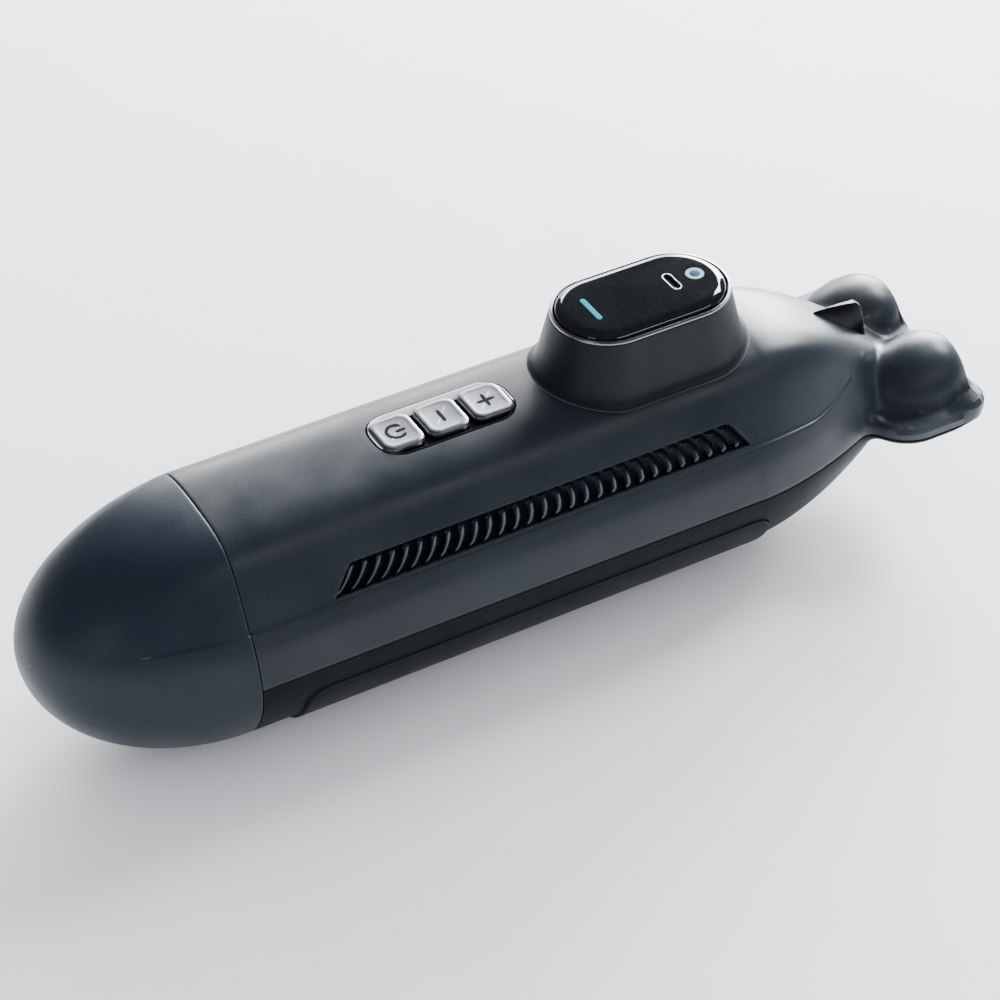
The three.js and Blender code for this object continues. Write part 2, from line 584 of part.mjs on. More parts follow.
/** Thruster of one side: motor, shaft, impeller, nut, guide-vane nozzle and its tail bush. */
function thruster(name, side) {
  const y = side * DUCT.offset;
  const bore = SHAFT.radius + GAP;
  const can = turned([[MOTOR.fore, 0], [SHAFT.fore - 1, 0], [SHAFT.fore - 1, bore],
    [MOTOR.aft + 4, bore], [MOTOR.aft + 4, 4], [MOTOR.aft, 4], [MOTOR.aft, MOTOR.radius - 1],
    [MOTOR.aft - 1, MOTOR.radius], [MOTOR.fore + 1, MOTOR.radius],
    [MOTOR.fore, MOTOR.radius - 1]], y, 0, 22);
  add(`${name}_motor`, can, ALUMINIUM);
  add(`${name}_shaft`, rod(SHAFT.fore, SHAFT.aft, SHAFT.radius, y, 0, 14), STEEL);
  const blades = [];
  for (let i = 0; i < IMPELLER.blades; i += 1) {
    blades.push(blade(i * (360 / IMPELLER.blades) * DEG, y, side));
  }
  const hub = turned([[IMPELLER.fore, 0], [IMPELLER.aft, 0], [IMPELLER.aft, IMPELLER.hub],
    [IMPELLER.fore + 2, IMPELLER.hub], [IMPELLER.fore, IMPELLER.hub - 0.8]], y, 0, 20);
  const hubBore = rod(IMPELLER.fore - 2, IMPELLER.aft + 2, bore, y, 0, 14);
  add(`${name}_impeller`, cut(join(hub, ...blades), hubBore), BRONZE);
  add(`${name}_nut`, cut(rod(IMPELLER.aft + GAP, IMPELLER.aft + 3, 3, y, 0, 6),
    rod(IMPELLER.aft - 1, IMPELLER.aft + 5, bore, y, 0, 14)), STEEL);
  const vanes = [];
  for (let i = 0; i < NOZZLE.vanes; i += 1) {
    const vane = new THREE.BoxGeometry(NOZZLE.aft - NOZZLE.fore - 2, NOZZLE.thick, NOZZLE.inner - 2.6);
    vane.translate(SEAM_X - (NOZZLE.aft + NOZZLE.fore) / 2, 0, (NOZZLE.inner + 0.4 + 3) / 2);
    vane.rotateX(i * (360 / NOZZLE.vanes) * DEG);
    vane.translate(0, y, 0);
    vanes.push(solid(vane));
  }
  const ring = sleeve(NOZZLE.fore, NOZZLE.aft, NOZZLE.inner, NOZZLE.outer, y, 0, 20);
  const core = rod(NOZZLE.fore, NOZZLE.aft, NOZZLE.hub, y, 0, 14);
  const coreBore = rod(NOZZLE.fore - 2, NOZZLE.aft + 2, NOZZLE.bore, y, 0, 16);
  add(`${name}_nozzle`, cut(join(ring, core, ...vanes), coreBore), INNER_PLASTIC);
  add(`${name}_bush`, sleeve(NOZZLE.fore + 1, NOZZLE.aft - 2, bore, NOZZLE.bore - GAP, y, 0, 16), BRONZE);
}

noseCap();
upperHull();
lowerHull();
keelCover();
frontBulkhead();
pressureTube();
batteryPack();
keypad();
tower();
statusPanel();
sternFin();
motorBulkhead();
add('port_louvre', louvre(1), NAVY_GLOSS);
add('starboard_louvre', louvre(-1), NAVY_GLOSS);
thruster('port', 1);
thruster('starboard', -1);

export default scooter;
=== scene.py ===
# %% [markdown]
# # An underwater scooter in the shape of a small submarine
#
# This lesson dresses a packed mechanical model.  The model gives every part its place, and this
# file gives the parts you can see their final surfaces and finishes.  It is read from top to
# bottom: a shape or a finish is explained just before it is made.
#
# Everything is in metres, with +X to the nose, +Y to port and +Z up.  The origin lies under the
# middle of the boat, on the flat of the keel.

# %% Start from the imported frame
import json
import math
import bmesh
import bpy
import numpy as np
from mathutils import Matrix


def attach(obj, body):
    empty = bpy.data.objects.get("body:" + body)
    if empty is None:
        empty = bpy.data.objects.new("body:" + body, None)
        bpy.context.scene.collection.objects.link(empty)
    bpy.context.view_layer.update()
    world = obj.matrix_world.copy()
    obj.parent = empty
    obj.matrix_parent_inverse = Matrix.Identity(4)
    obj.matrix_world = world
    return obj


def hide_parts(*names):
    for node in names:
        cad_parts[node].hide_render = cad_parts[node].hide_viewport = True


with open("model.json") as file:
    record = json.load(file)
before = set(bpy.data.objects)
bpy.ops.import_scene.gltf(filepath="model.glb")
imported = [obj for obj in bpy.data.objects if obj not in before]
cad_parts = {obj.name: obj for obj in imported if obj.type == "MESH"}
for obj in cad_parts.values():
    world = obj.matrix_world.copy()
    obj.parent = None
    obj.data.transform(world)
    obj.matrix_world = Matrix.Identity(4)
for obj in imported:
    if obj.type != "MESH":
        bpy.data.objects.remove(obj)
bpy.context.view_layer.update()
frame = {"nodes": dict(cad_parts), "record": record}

# %% [markdown]
# ## Camera, floor and lights
#
# The camera looks from the port bow, from well above, through a long lens, so the boat tapers only
# slightly with distance.  The floor is a plain pale sheet.  A matt, dark boat shows its form only
# through what it reflects, so the lights are soft panels.  Two large ones beyond the deck give the
# flat top its long sheen, a small one does the same for the tail, and two weak ones stand on the
# camera's side.  A pale world lights the boat from all round.  In reflections it is much dimmer, so
# that polished black parts stay black.

# %% The camera
def look_from(place, right, up):
    """Camera matrix whose columns are its right, its up and the direction from the scene to it."""
    right, up = np.array(right), np.array(up)
    back = np.cross(right, up)
    turned = np.eye(4)
    turned[:3, 0], turned[:3, 1], turned[:3, 2], turned[:3, 3] = right, up, back, place
    return Matrix(turned.tolist())


camera = bpy.data.objects.new("camera", bpy.data.cameras.new("camera"))
bpy.context.scene.collection.objects.link(camera)
camera.data.lens, camera.data.sensor_width = 108, 36
camera.data.clip_start, camera.data.clip_end = 0.01, 50
camera.matrix_world = look_from((0.3607, 0.6322, 0.6547), (-0.8689, 0.4950, 0.0),
                                (-0.3196, -0.5611, 0.7636))
bpy.context.scene.camera = camera
print("camera at", tuple(round(x, 3) for x in camera.location))


# %% The floor and the lights
def panel_light(name, place, aim, size, power, colour=(1, 1, 1)):
    """A soft rectangular light at a place, facing the aim point."""
    lamp = bpy.data.lights.new(name, "AREA")
    lamp.shape, lamp.size, lamp.size_y = "RECTANGLE", size[0], size[1]
    lamp.energy, lamp.color = power, colour
    holder = bpy.data.objects.new(name, lamp)
    bpy.context.scene.collection.objects.link(holder)
    back = np.array(place, float) - np.array(aim, float)
    back /= np.linalg.norm(back)
    right = np.cross((0, 0, 1), back)
    right /= np.linalg.norm(right)
    holder.matrix_world = look_from(place, right, np.cross(back, right))
    return holder


panel_light("deck_sheen", (-0.75, -1.25, 0.52), (0, 0, 0.08), (1.3, 0.6), 40)
panel_light("aft_sheen", (-1.15, -1.0, 0.5), (-0.1, 0, 0.05), (0.7, 0.9), 85, (0.97, 0.99, 1))
panel_light("tail_sheen", (-1.15, -0.35, 0.85), (-0.14, 0, 0.05), (0.4, 0.4), 26, (0.93, 0.97, 1))
panel_light("port_strip", (-0.55, 1.0, 0.95), (-0.03, 0, 0.08), (1.3, 0.10), 3)
panel_light("bow_panel", (1.1, 0.7, 0.5), (0.1, 0, 0.04), (0.4, 0.4), 1.2, (0.80, 0.90, 1))

FLOOR_HALF = 9
floor_corners = [(x * FLOOR_HALF, y * FLOOR_HALF, 0) for x, y in ((-1, -1), (1, -1), (1, 1), (-1, 1))]
floor_mesh = bpy.data.meshes.new("floor")
floor_mesh.from_pydata(floor_corners, [], [(0, 1, 2, 3)])
floor = bpy.data.objects.new("floor", floor_mesh)
bpy.context.scene.collection.objects.link(floor)

# %% The world
WORLD_LIGHT, WORLD_MIRRORED = 1.25, 0.12
world = bpy.data.worlds.new("studio")
bpy.context.scene.world = world
world.use_nodes = True
studio = world.node_tree
background = studio.nodes["Background"]
background.inputs["Color"].default_value = (0.93, 0.95, 1.0, 1)
mirrored = studio.nodes.new("ShaderNodeLightPath").outputs["Is Glossy Ray"]
level = studio.nodes.new("ShaderNodeMapRange")
level.inputs["To Min"].default_value = WORLD_LIGHT
level.inputs["To Max"].default_value = WORLD_MIRRORED
studio.links.new(mirrored, level.inputs["Value"])
studio.links.new(level.outputs["Result"], background.inputs["Strength"])

# %% [markdown]
# ## Finishes
#
# Moulded plastic is never one flat colour.  Its skin has a fine spark-eroded grain, the colour
# drifts a little over a hand's width, handling polishes some patches more than others, and edges
# wear lighter.  One function builds such a finish from noise, so each material below is a short
# list of numbers in a maker's terms: the size of the grain in millimetres, how deep it is, and how
# much the edges have worn.

# %% Helpers for a finish
DRIFT_PATCH, POLISH_PATCH, BUMP_HEIGHT = 0.03, 0.018, 0.0004
GRAIN_UNIT, FLECK_UNIT = 0.001, 0.0011


def wire(tree, out, into):
    """Joins an output to an input."""
    tree.links.new(out, into)


def noise(tree, coordinate, size, detail=3.0, stretch=None):
    """A noise whose lumps are about the given size in metres, optionally stretched along an axis."""
    node = tree.nodes.new("ShaderNodeTexNoise")
    node.inputs["Scale"].default_value = 1 / size
    node.inputs["Detail"].default_value = detail
    source = coordinate
    if stretch:
        mapping = tree.nodes.new("ShaderNodeMapping")
        mapping.inputs["Scale"].default_value = stretch
        wire(tree, coordinate, mapping.inputs["Vector"])
        source = mapping.outputs["Vector"]
    wire(tree, source, node.inputs["Vector"])
    return node.outputs["Fac"]


def spread(tree, value, low, high, from_low=0.3, from_high=0.7):
    """Maps a value from one range to another, held at both ends."""
    node = tree.nodes.new("ShaderNodeMapRange")
    node.inputs["From Min"].default_value, node.inputs["From Max"].default_value = from_low, from_high
    node.inputs["To Min"].default_value, node.inputs["To Max"].default_value = low, high
    wire(tree, value, node.inputs["Value"])
    return node.outputs["Result"]


def blend_colour(tree, share, first, second):
    """Mixes two colours, each a plain tuple or another node's output."""
    node = tree.nodes.new("ShaderNodeMix")
    node.data_type = "RGBA"
    wire(tree, share, node.inputs["Factor"])
    for colour, socket in ((first, node.inputs["A"]), (second, node.inputs["B"])):
        if isinstance(colour, tuple):
            socket.default_value = (*colour, 1)
        else:
            wire(tree, colour, socket)
    return node.outputs["Result"]


# %% A function that mixes a finish
def finish(name, colour, rough, metal=0.0, coat=0.0, specular=0.5, drift=0.12, grain=0.35, depth=0.03,
           wear=0.0, worn=None, brushed=None, polish=0.06):
    """A surface finish.  colour: linear colour.  rough: roughness.  drift: how far the colour strays.
    grain: size of the skin's texture in mm, depth: its strength.  wear: how far edges turn to the
    worn colour.  brushed: stretch of the grain along each axis.  polish: how far roughness strays."""
    material = bpy.data.materials.new(name)
    material.use_nodes = True
    tree = material.node_tree
    shader = tree.nodes["Principled BSDF"]
    shader.inputs["Metallic"].default_value = metal
    shader.inputs["Coat Weight"].default_value = coat
    shader.inputs["Coat Roughness"].default_value = 0.04
    shader.inputs["Specular IOR Level"].default_value = specular
    where = tree.nodes.new("ShaderNodeTexCoord").outputs["Object"]

    darker = tuple(c * (1 - drift) for c in colour)
    lighter = tuple(min(c * (1 + drift), 1) for c in colour)
    shade = blend_colour(tree, spread(tree, noise(tree, where, DRIFT_PATCH), 0, 1), darker, lighter)
    fleck = spread(tree, noise(tree, where, grain * FLECK_UNIT, 2), 0, drift * 1.4, 0.42, 0.7)
    shade = blend_colour(tree, fleck, shade, tuple(min(c * 1.5 + 0.01, 1) for c in colour))
    if wear:
        edge = tree.nodes.new("ShaderNodeNewGeometry").outputs["Pointiness"]
        rim = spread(tree, edge, 0, wear, 0.52, 0.6)
        shade = blend_colour(tree, rim, shade, worn or tuple(min(c * 2.2 + 0.02, 1) for c in colour))
    wire(tree, shade, shader.inputs["Base Color"])

    patches = noise(tree, where, POLISH_PATCH, 4)
    handled = spread(tree, patches, max(rough - polish, 0.02), min(rough + polish, 1))
    wire(tree, handled, shader.inputs["Roughness"])
    skin = noise(tree, where, grain * GRAIN_UNIT, 2, brushed)
    bump = tree.nodes.new("ShaderNodeBump")
    bump.inputs["Strength"].default_value = depth
    bump.inputs["Distance"].default_value = BUMP_HEIGHT
    wire(tree, skin, bump.inputs["Height"])
    wire(tree, bump.outputs["Normal"], shader.inputs["Normal"])
    return material


paper = finish("paper_floor", (0.86, 0.87, 0.88), 0.9, drift=0.01, grain=2.0, depth=0.02)
floor.data.materials.append(paper)

# %% [markdown]
# The boat uses only a few finishes.  The hull, the nose and the tower are soft-touch plastic in
# slate blue, and the lower hull is a shade darker.  The keys are blasted metal.  The glass panel and
# the key tray are polished black, and a near-white painted reflection of the lamps lies on the tray's
# starboard wall and nose end.  The louvres are polished navy, and the stern fin is satin black.

# %% The finishes of the outside
hull_plastic = finish("slate_soft_touch", (0.0080, 0.0132, 0.0185), 0.36, specular=0.30, grain=0.45,
                      depth=0.10, wear=0.5, worn=(0.07, 0.085, 0.10))
nose_plastic = finish("slate_soft_touch_nose", (0.0055, 0.0115, 0.0200), 0.40, specular=0.28, grain=0.45,
                      depth=0.10, wear=0.4, worn=(0.06, 0.075, 0.09))
belly_plastic = finish("dark_slate_soft_touch", (0.0025, 0.0038, 0.0050), 0.5, specular=0.10, grain=0.45,
                       depth=0.12, wear=0.4, worn=(0.03, 0.036, 0.042))
tower_plastic = finish("tower_soft_touch", (0.0045, 0.0072, 0.0105), 0.44, specular=0.15, grain=0.5,
                       depth=0.14, wear=0.5, worn=(0.07, 0.08, 0.09))
black_polish = finish("polished_black", (0.002, 0.003, 0.004), 0.07, coat=0.6, grain=1.2, depth=0.006,
                      drift=0.2, polish=0.03)
navy_polish = finish("polished_navy", (0.002, 0.004, 0.008), 0.24, coat=0.25, specular=0.3, grain=2.5,
                     depth=0.008, drift=0.3, polish=0.06)
fin_black = finish("satin_black_fin", (0.002, 0.003, 0.004), 0.22, specular=0.16, grain=0.8, depth=0.01)
tray_black = finish("polished_tray", (0.004, 0.005, 0.007), 0.12, coat=0.4, grain=0.8, depth=0.01,
                    polish=0.05)
# A near-white finish used only as a painted reflection of the lamps on the key tray's wall.
tray_painted_reflection = finish("painted_reflection_on_tray", (0.86, 0.88, 0.90), 0.22, coat=0.6, grain=0.8, depth=0.01,
                     drift=0.02, polish=0.05)
key_metal = finish("blasted_key_metal", (0.15, 0.16, 0.17), 0.38, metal=1.0, grain=0.12, depth=0.08,
                   drift=0.08, wear=0.5, worn=(0.6, 0.6, 0.6), polish=0.05)
rim_metal = finish("satin_rim_metal", (0.12, 0.13, 0.145), 0.24, metal=1.0, grain=0.2, depth=0.04, wear=0.6,
                   worn=(0.5, 0.52, 0.54))
ink_black = finish("engraved_black", (0.002, 0.002, 0.003), 0.7, specular=0.05, grain=0.2, depth=0.03,
                   drift=0.3)
steel = finish("turned_steel", (0.52, 0.53, 0.54), 0.28, metal=1.0, grain=0.2, depth=0.05, wear=0.5,
               worn=(0.8, 0.8, 0.8), brushed=(4, 1, 1))
print(len(bpy.data.materials), "materials so far")

# %% [markdown]
# ## The hull's surface
#
# One formula describes the whole skin, so every outer piece meets its neighbour exactly.  Amidships
# the section is a circle of 42 mm radius with three soft flats: the deck and the two flanks.  The nose
# shrinks it like the end of an ellipse.  Towards the tail the section necks in, and two rounded
# lobes and a thin side flange are merged with it.  A smooth union rounds the places where they
# meet, as a fillet does in a mould, and an upright plane trims the rear of the hull and the lobes.
#
# Positions along the hull are stations: the distance aft of the nose seam, in millimetres.

# %% The numbers of the hull
NOSE_LENGTH, SEAM_X, KEEL_DEPTH = 59.5, 104.5, 42.3
SEAM_HEIGHT, GAP = -3.7, 0.3
HULL_RADIUS, DECK, FLANK_DISTANCE, FLANK = 42.0, 39.4, 37.4, math.radians(64)
HULL_BACK, TAIL_SOLID, HULL_END_ROUND = 263.5, 228, 1.6
LOBE = {"station": 254, "side": 18.2, "across": 16.8, "up": 17.3, "drop": 0.6, "back": 263.8}
FLANGE = {"station": 246.25, "half_width": 41.5, "edge": 2.2, "drop": 2.6, "lift": 2.1, "swell": 0.6}


def place(station, side, height):
    """Points in metres from hull measures in mm: X = seam - station, Y = side, Z = height + keel."""
    ahead, up = SEAM_X - np.asarray(station, float), np.asarray(height, float) + KEEL_DEPTH
    return np.stack(np.broadcast_arrays(ahead, side, up), -1) / 1000


def smoothstep(value, low, high):
    """Rises from 0 at low to 1 at high, level at both ends."""
    t = np.clip((value - low) / (high - low), 0, 1)
    return t * t * (3 - 2 * t)


def soft_min(a, b, width):
    """The lesser of two distances, rounded where they are within the width of each other."""
    h = np.clip(0.5 + 0.5 * (b - a) / width, 0, 1)
    return b * (1 - h) + a * h - width * h * (1 - h)


def soft_max(a, b, width):
    """The greater of two distances, rounded in the same way."""
    return -soft_min(-a, -b, width)


def midship_radius(angle):
    """Radius of the midship section: the smallest of a circle, a deck line and two flank lines, softly."""
    def flat(turn, distance):
        return (np.maximum(np.cos(angle - turn), 0) / distance) ** 22
    flanks = [flat(turn, FLANK_DISTANCE) for turn in (FLANK, -FLANK)]
    return (flat(0, DECK) + flanks[0] + flanks[1] + HULL_RADIUS ** -22) ** (-1 / 22)


def taper(station, start, power, drop, floor_share):
    """Share of its midship measure that is left at a station: 1 before the start, easing to a floor."""
    left = 1 - drop * (np.clip(station - start, 0, None) / 60) ** power - floor_share
    eased = floor_share + left / 2 + np.hypot(left / 2, 0.03)
    return np.where(station < start, 1.0, eased)


def waist(station):
    """Angle from the top of the line under the louvres: level amidships, sweeping up near the tail."""
    aft = np.clip((station - 200) / 34, 0, 1)
    ahead = np.clip(-station / NOSE_LENGTH, 0, 1)
    return np.radians(68 - 30 * aft ** 1.8 - 9 * ahead)


def ledge(station, angle):
    """Outward step just below the waist, fading out on the nose, at the tail and further down."""
    past = np.degrees(angle - waist(station))
    fade = smoothstep(station, -46, -6) * (1 - smoothstep(station, 205, 232))
    return 0.8 * fade * smoothstep(past, -0.8, 0.8) * (1 - smoothstep(past, 7, 24))


def skin_distance(station, side, height):
    """How far a point is outside the skin: the hull, the tail lobes and the flange in a soft union.
    The hull is its scaled section, a lobe is an egg round the duct, both trimmed by an upright plane,
    and the flange is a thin slab with a rounded edge and rounded corners in plan."""
    ahead = np.clip(-station / NOSE_LENGTH, 0, 1)
    shrink = np.sqrt(np.clip(1 - ahead ** 2, 1e-4, 1))
    wide = taper(station, 178, 1.72, 0.443, 0.45) * shrink
    above, below = taper(station, 188, 1.7, 0.8, 0.12), taper(station, 185, 1.8, 0.6, 0.2)
    high = np.where(height > 0, above, below) * shrink
    u, v = side / wide, height / high
    angle = np.arctan2(np.abs(u), v)
    share = ahead ** 0.8
    radius = midship_radius(angle) * (1 - share) + (40.2 - 1.8 * np.cos(angle)) * share
    radius = radius + ledge(station, np.arctan2(np.abs(side), height))
    hull = (np.hypot(u, v) - radius) * np.minimum(wide, high)
    hull = soft_max(hull, station - HULL_BACK, HULL_END_ROUND)

    across = np.abs(side)
    reach = np.where(station < LOBE["station"], 24.0, 17.0)
    aft, out = (station - LOBE["station"]) / reach, (across - LOBE["side"]) / LOBE["across"]
    egg = np.sqrt(aft ** 2 + out ** 2 + ((height + LOBE["drop"]) / LOBE["up"]) ** 2)
    lobe = soft_max((egg - 1) * 15.5, station - LOBE["back"], 1.2)

    is_fore = station < FLANGE["station"]
    corner, length = np.where(is_fore, 16, 8), np.where(is_fore, 20, 20.75)
    along = np.maximum(np.abs(station - FLANGE["station"]) - length + corner, 0)
    outward = np.maximum(across - FLANGE["half_width"] + corner, 0)
    plan = np.hypot(along, outward) - corner + FLANGE["edge"]
    rise = smoothstep(station, 250, 264) * smoothstep(across, 16, 34)
    thick = np.abs(height + FLANGE["drop"] - FLANGE["lift"] * rise) - 1.0 - FLANGE["swell"] * rise
    beyond = np.hypot(np.maximum(plan, 0), np.maximum(thick, 0))
    flange = np.minimum(np.maximum(plan, thick), 0) + beyond - FLANGE["edge"]
    return soft_min(soft_min(hull, flange, 6), lobe, 3)


def halve(low, high, is_outside, rounds=26):
    """Value between low and high at which is_outside turns true, found by halving."""
    for _ in range(rounds):
        middle = (low + high) / 2
        out = is_outside(middle)
        low, high = np.where(out, low, middle), np.where(out, middle, high)
    return (low + high) / 2


def skin_radius(station, angle, level=0.0):
    """Distance from the hull's axis to the skin, or to a surface at a level outside or inside it."""
    station, angle, level = np.broadcast_arrays(station, angle, level)
    sine, cosine = np.sin(angle), np.cos(angle)
    return halve(np.zeros(station.shape), np.full(station.shape, 60.0),
                 lambda r: skin_distance(station, r * sine, r * cosine) > level)


def on_skin(station, angle, level=0.0):
    """Points in metres on the skin, at an angle from straight up."""
    radius = skin_radius(station, angle, level)
    return place(station, radius * np.sin(angle), radius * np.cos(angle))


tail_end = float(halve(np.array(240.0), np.array(290.0), lambda s: skin_distance(s, 0.0, 0.0) > -0.02))
print("the tail's rear edge is at station", round(tail_end, 2))

# %% [markdown]
# ## From a grid of points to a piece
#
# Each piece is a grid: rows along it, columns round it.  The helper below turns such a grid into
# faces, measures the volume they enclose and turns the faces over if it is negative, so that they
# always point outwards.

# %% Helpers that make a mesh
def grid_faces(rows, columns, start=0, wrap=True, wrap_rows=False):
    """Four-sided faces between neighbouring rows and columns of numbered points."""
    i = np.arange(rows if wrap_rows else rows - 1)[:, None]
    j = np.arange(columns if wrap else columns - 1)[None, :]
    k, n = (j + 1) % columns, (i + 1) % rows
    faces = np.stack([i * columns + j, i * columns + k, n * columns + k, n * columns + j], -1)
    return (faces.reshape(-1, 4) + start).tolist()


def skirt_faces(rows, columns):
    """Walls that join the rim of a grid of points to the rim of an equal grid numbered after it."""
    last, total = (rows - 1) * columns, rows * columns
    rim = np.concatenate([np.arange(columns), np.arange(1, rows) * columns + columns - 1,
                          last + np.arange(columns - 2, -1, -1), np.arange(rows - 2, 0, -1) * columns])
    after = np.roll(rim, -1)
    return np.stack([after, rim, rim + total, after + total], -1)


def piece(name, points, faces, material, crease=32, merge=2e-6):
    """A mesh object with its faces outwards, smooth except across edges sharper than the crease angle."""
    mesh = bpy.data.meshes.new(name)
    mesh.from_pydata(np.asarray(points).reshape(-1, 3).tolist(), [], faces)
    made = bpy.data.objects.new(name, mesh)
    bpy.context.scene.collection.objects.link(made)
    made.data.materials.append(material)
    tidy(made, crease, merge)
    return made


def tidy(made, crease=32, merge=2e-6):
    """Merges doubled points, turns the mesh outwards if it encloses less than nothing, and shades it."""
    loose = bmesh.new()
    loose.from_mesh(made.data)
    bmesh.ops.remove_doubles(loose, verts=loose.verts, dist=merge)
    bmesh.ops.dissolve_degenerate(loose, edges=loose.edges, dist=1e-7)
    if loose.calc_volume(signed=True) < 0:
        bmesh.ops.reverse_faces(loose, faces=loose.faces)
    loose.to_mesh(made.data)
    loose.free()
    made.data.shade_smooth()
    made.data.set_sharp_from_angle(angle=math.radians(crease))


def ring_piece(name, rows, material, ends=True, **shading):
    """A closed skin through equal closed rings.  With ends, the first and last ring are capped; without,
    the last ring joins the first, as round a picture frame."""
    rows = np.asarray(rows)
    count, columns = rows.shape[:2]
    faces = grid_faces(count, columns, wrap_rows=not ends)
    if ends:
        faces += [list(range(columns))[::-1], list(range((count - 1) * columns, count * columns))]
    return piece(name, rows, faces, material, **shading)


def cut_away(made, *tools, crease=32):
    """Takes the tools' shapes out of a piece, for pockets that don't follow its grid."""
    for tool in tools:
        carve = made.modifiers.new("carve", "BOOLEAN")
        carve.operation, carve.solver, carve.object = "DIFFERENCE", "EXACT", tool
        graph = bpy.context.evaluated_depsgraph_get()
        carved = bpy.data.meshes.new_from_object(made.evaluated_get(graph))
        made.modifiers.clear()
        made.data = carved
        bpy.data.objects.remove(tool)
    tidy(made, crease)
    return made


def fit(made, body, slot_name, *nodes):
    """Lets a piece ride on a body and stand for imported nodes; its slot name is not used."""
    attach(made, body)
    if nodes:
        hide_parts(*nodes)
    print(f"{made.name}: {len(made.data.polygons)} faces")
    return made


# %% [markdown]
# ## The nose cap
#
# The nose is a moulded cup that pushes on over a sealed spigot.  Its rows run from the tip back to
# the seam, round the thin edge there, and forwards again inside.  Columns are spread evenly along
# the section, with a few close together at the waist so that the small ledge stays crisp.  The edge
# at the seam is eased a quarter of a millimetre, and that makes the seam read as a dark line.

# %% Columns that follow the waist
def even_angles(station, stops, counts):
    """Angles at each station, evenly spaced along the section between the stops, as one array."""
    fine = stops[0][:, None] + (stops[-1] - stops[0])[:, None] * np.linspace(0, 1, 420)
    radius = skin_radius(station[:, None], fine)
    y, z = radius * np.sin(fine), radius * np.cos(fine)
    length = np.concatenate([np.zeros((len(station), 1)),
                             np.cumsum(np.hypot(np.diff(y, axis=1), np.diff(z, axis=1)), axis=1)], 1)
    rows = []
    for row in range(len(station)):
        at = [np.interp(stop[row], fine[row], length[row]) for stop in stops]
        parts = [np.linspace(a, b, n, endpoint=False) for a, b, n in zip(at, at[1:], counts)]
        rows.append(np.interp(np.concatenate(parts + [[at[-1]]]), length[row], fine[row]))
    return np.array(rows)


LEDGE_HALF = math.radians(1.0)


def full_round(station):
    """Columns for a whole section: top to bottom on the port side, and mirrored back to the top."""
    station = np.asarray(station, float)
    none = np.zeros(station.shape)
    middle = waist(station)
    stops = [none, middle - LEDGE_HALF, middle + LEDGE_HALF, none + math.pi]
    half = even_angles(station, stops, [38, 7, 60])
    return np.concatenate([half, 2 * math.pi - half[:, -2:0:-1]], 1)


# %% The nose cap
NOSE_WALL = 2.4
sweep = np.linspace(0, math.pi / 2, 64)[1:]
outer_stations = np.concatenate([-(NOSE_LENGTH - 0.02) * np.cos(sweep[:-4]),
                                 [-4, -2, -1.0, -0.45, -0.2, -0.15]])
outer_levels = np.concatenate([np.zeros(len(outer_stations) - 3), [-0.02, -0.14, -0.4]])
inner_stations = np.concatenate([[-0.15, -0.6, -2, -5, -10],
                                 -(NOSE_LENGTH - 2.5) * np.cos(sweep[-14::-7])])
outer_rows = on_skin(outer_stations[:, None], full_round(outer_stations), outer_levels[:, None])
inner_rows = on_skin(inner_stations[:, None], full_round(inner_stations), -NOSE_WALL)
nose_rows = np.concatenate([outer_rows, inner_rows])
nose = ring_piece("nose_cap_shell", nose_rows, nose_plastic)
fit(nose, "nose", "hull_slate", "nose_cap")

# %% [markdown]
# ## The upper hull
#
# The upper hull is a long vault.  Each section is a closed loop: out along the skin from one seam
# edge over the deck to the other, and back along the inside.  Aft of the motors the loop closes
# straight across, so the tail is solid and the jet ducts can be bored through it.  The louvre
# windows, the key tray's pocket and the ducts are cut afterwards, because their outlines don't run
# along the grid.

# %% Sections of a half hull
def edge_angle(station, height, level=0.0):
    """Angle at which the skin passes down through a height, between level and straight down."""
    station = np.asarray(station, float)
    return halve(np.full(station.shape, math.radians(82)), np.full(station.shape, math.pi),
                 lambda a: skin_radius(station, a, level) * np.cos(a) < height, rounds=22)


def half_hull(name, station, half, wall, height, material, groups=5):
    """Closed half shell.  half: columns on the port side, out from the middle line.  The loop returns
    inside at the wall's depth, or straight across at the seam height where the tail is solid."""
    angles = np.concatenate([-half[:, :0:-1], half], 1) if half[0, 0] < 1 else np.concatenate(
        [half, 2 * math.pi - half[:, -2::-1]], 1)
    count = angles.shape[1]
    eased = np.zeros(angles.shape)
    eased[:, [0, -1]], eased[:, [1, -2]] = -0.4, -0.1
    eased[:4] = np.minimum(eased[:4], np.array([-0.4, -0.14, -0.02, 0])[:, None])
    outer = on_skin(station[:, None], angles, eased)

    every = np.arange(0, count, groups)
    hollow = station < TAIL_SOLID
    inner = on_skin(station[:, None], angles[:, every], np.where(hollow, -wall, -1.0)[:, None])
    level = height + KEEL_DEPTH
    inner[:, [0, -1], 2] = level / 1000
    ends = outer[:, [0, -1]]
    across = np.linspace(0.04, 0.96, len(every))[None, :, None]
    flat = ends[:, :1] * (1 - across) + ends[:, 1:] * across
    inner = np.where(hollow[:, None, None], inner, flat)
    loops = np.concatenate([outer, inner[:, ::-1]], 1)
    columns = loops.shape[1]
    faces = grid_faces(len(station), columns)
    for g in range(len(every) - 1):
        front = list(range(g * groups, g * groups + groups + 1))
        faces.append(front + [columns - 2 - g, columns - 1 - g])
    last = (len(station) - 1) * columns
    faces.append(list(range(last, last + columns)))
    return piece(name, loops, faces, material)


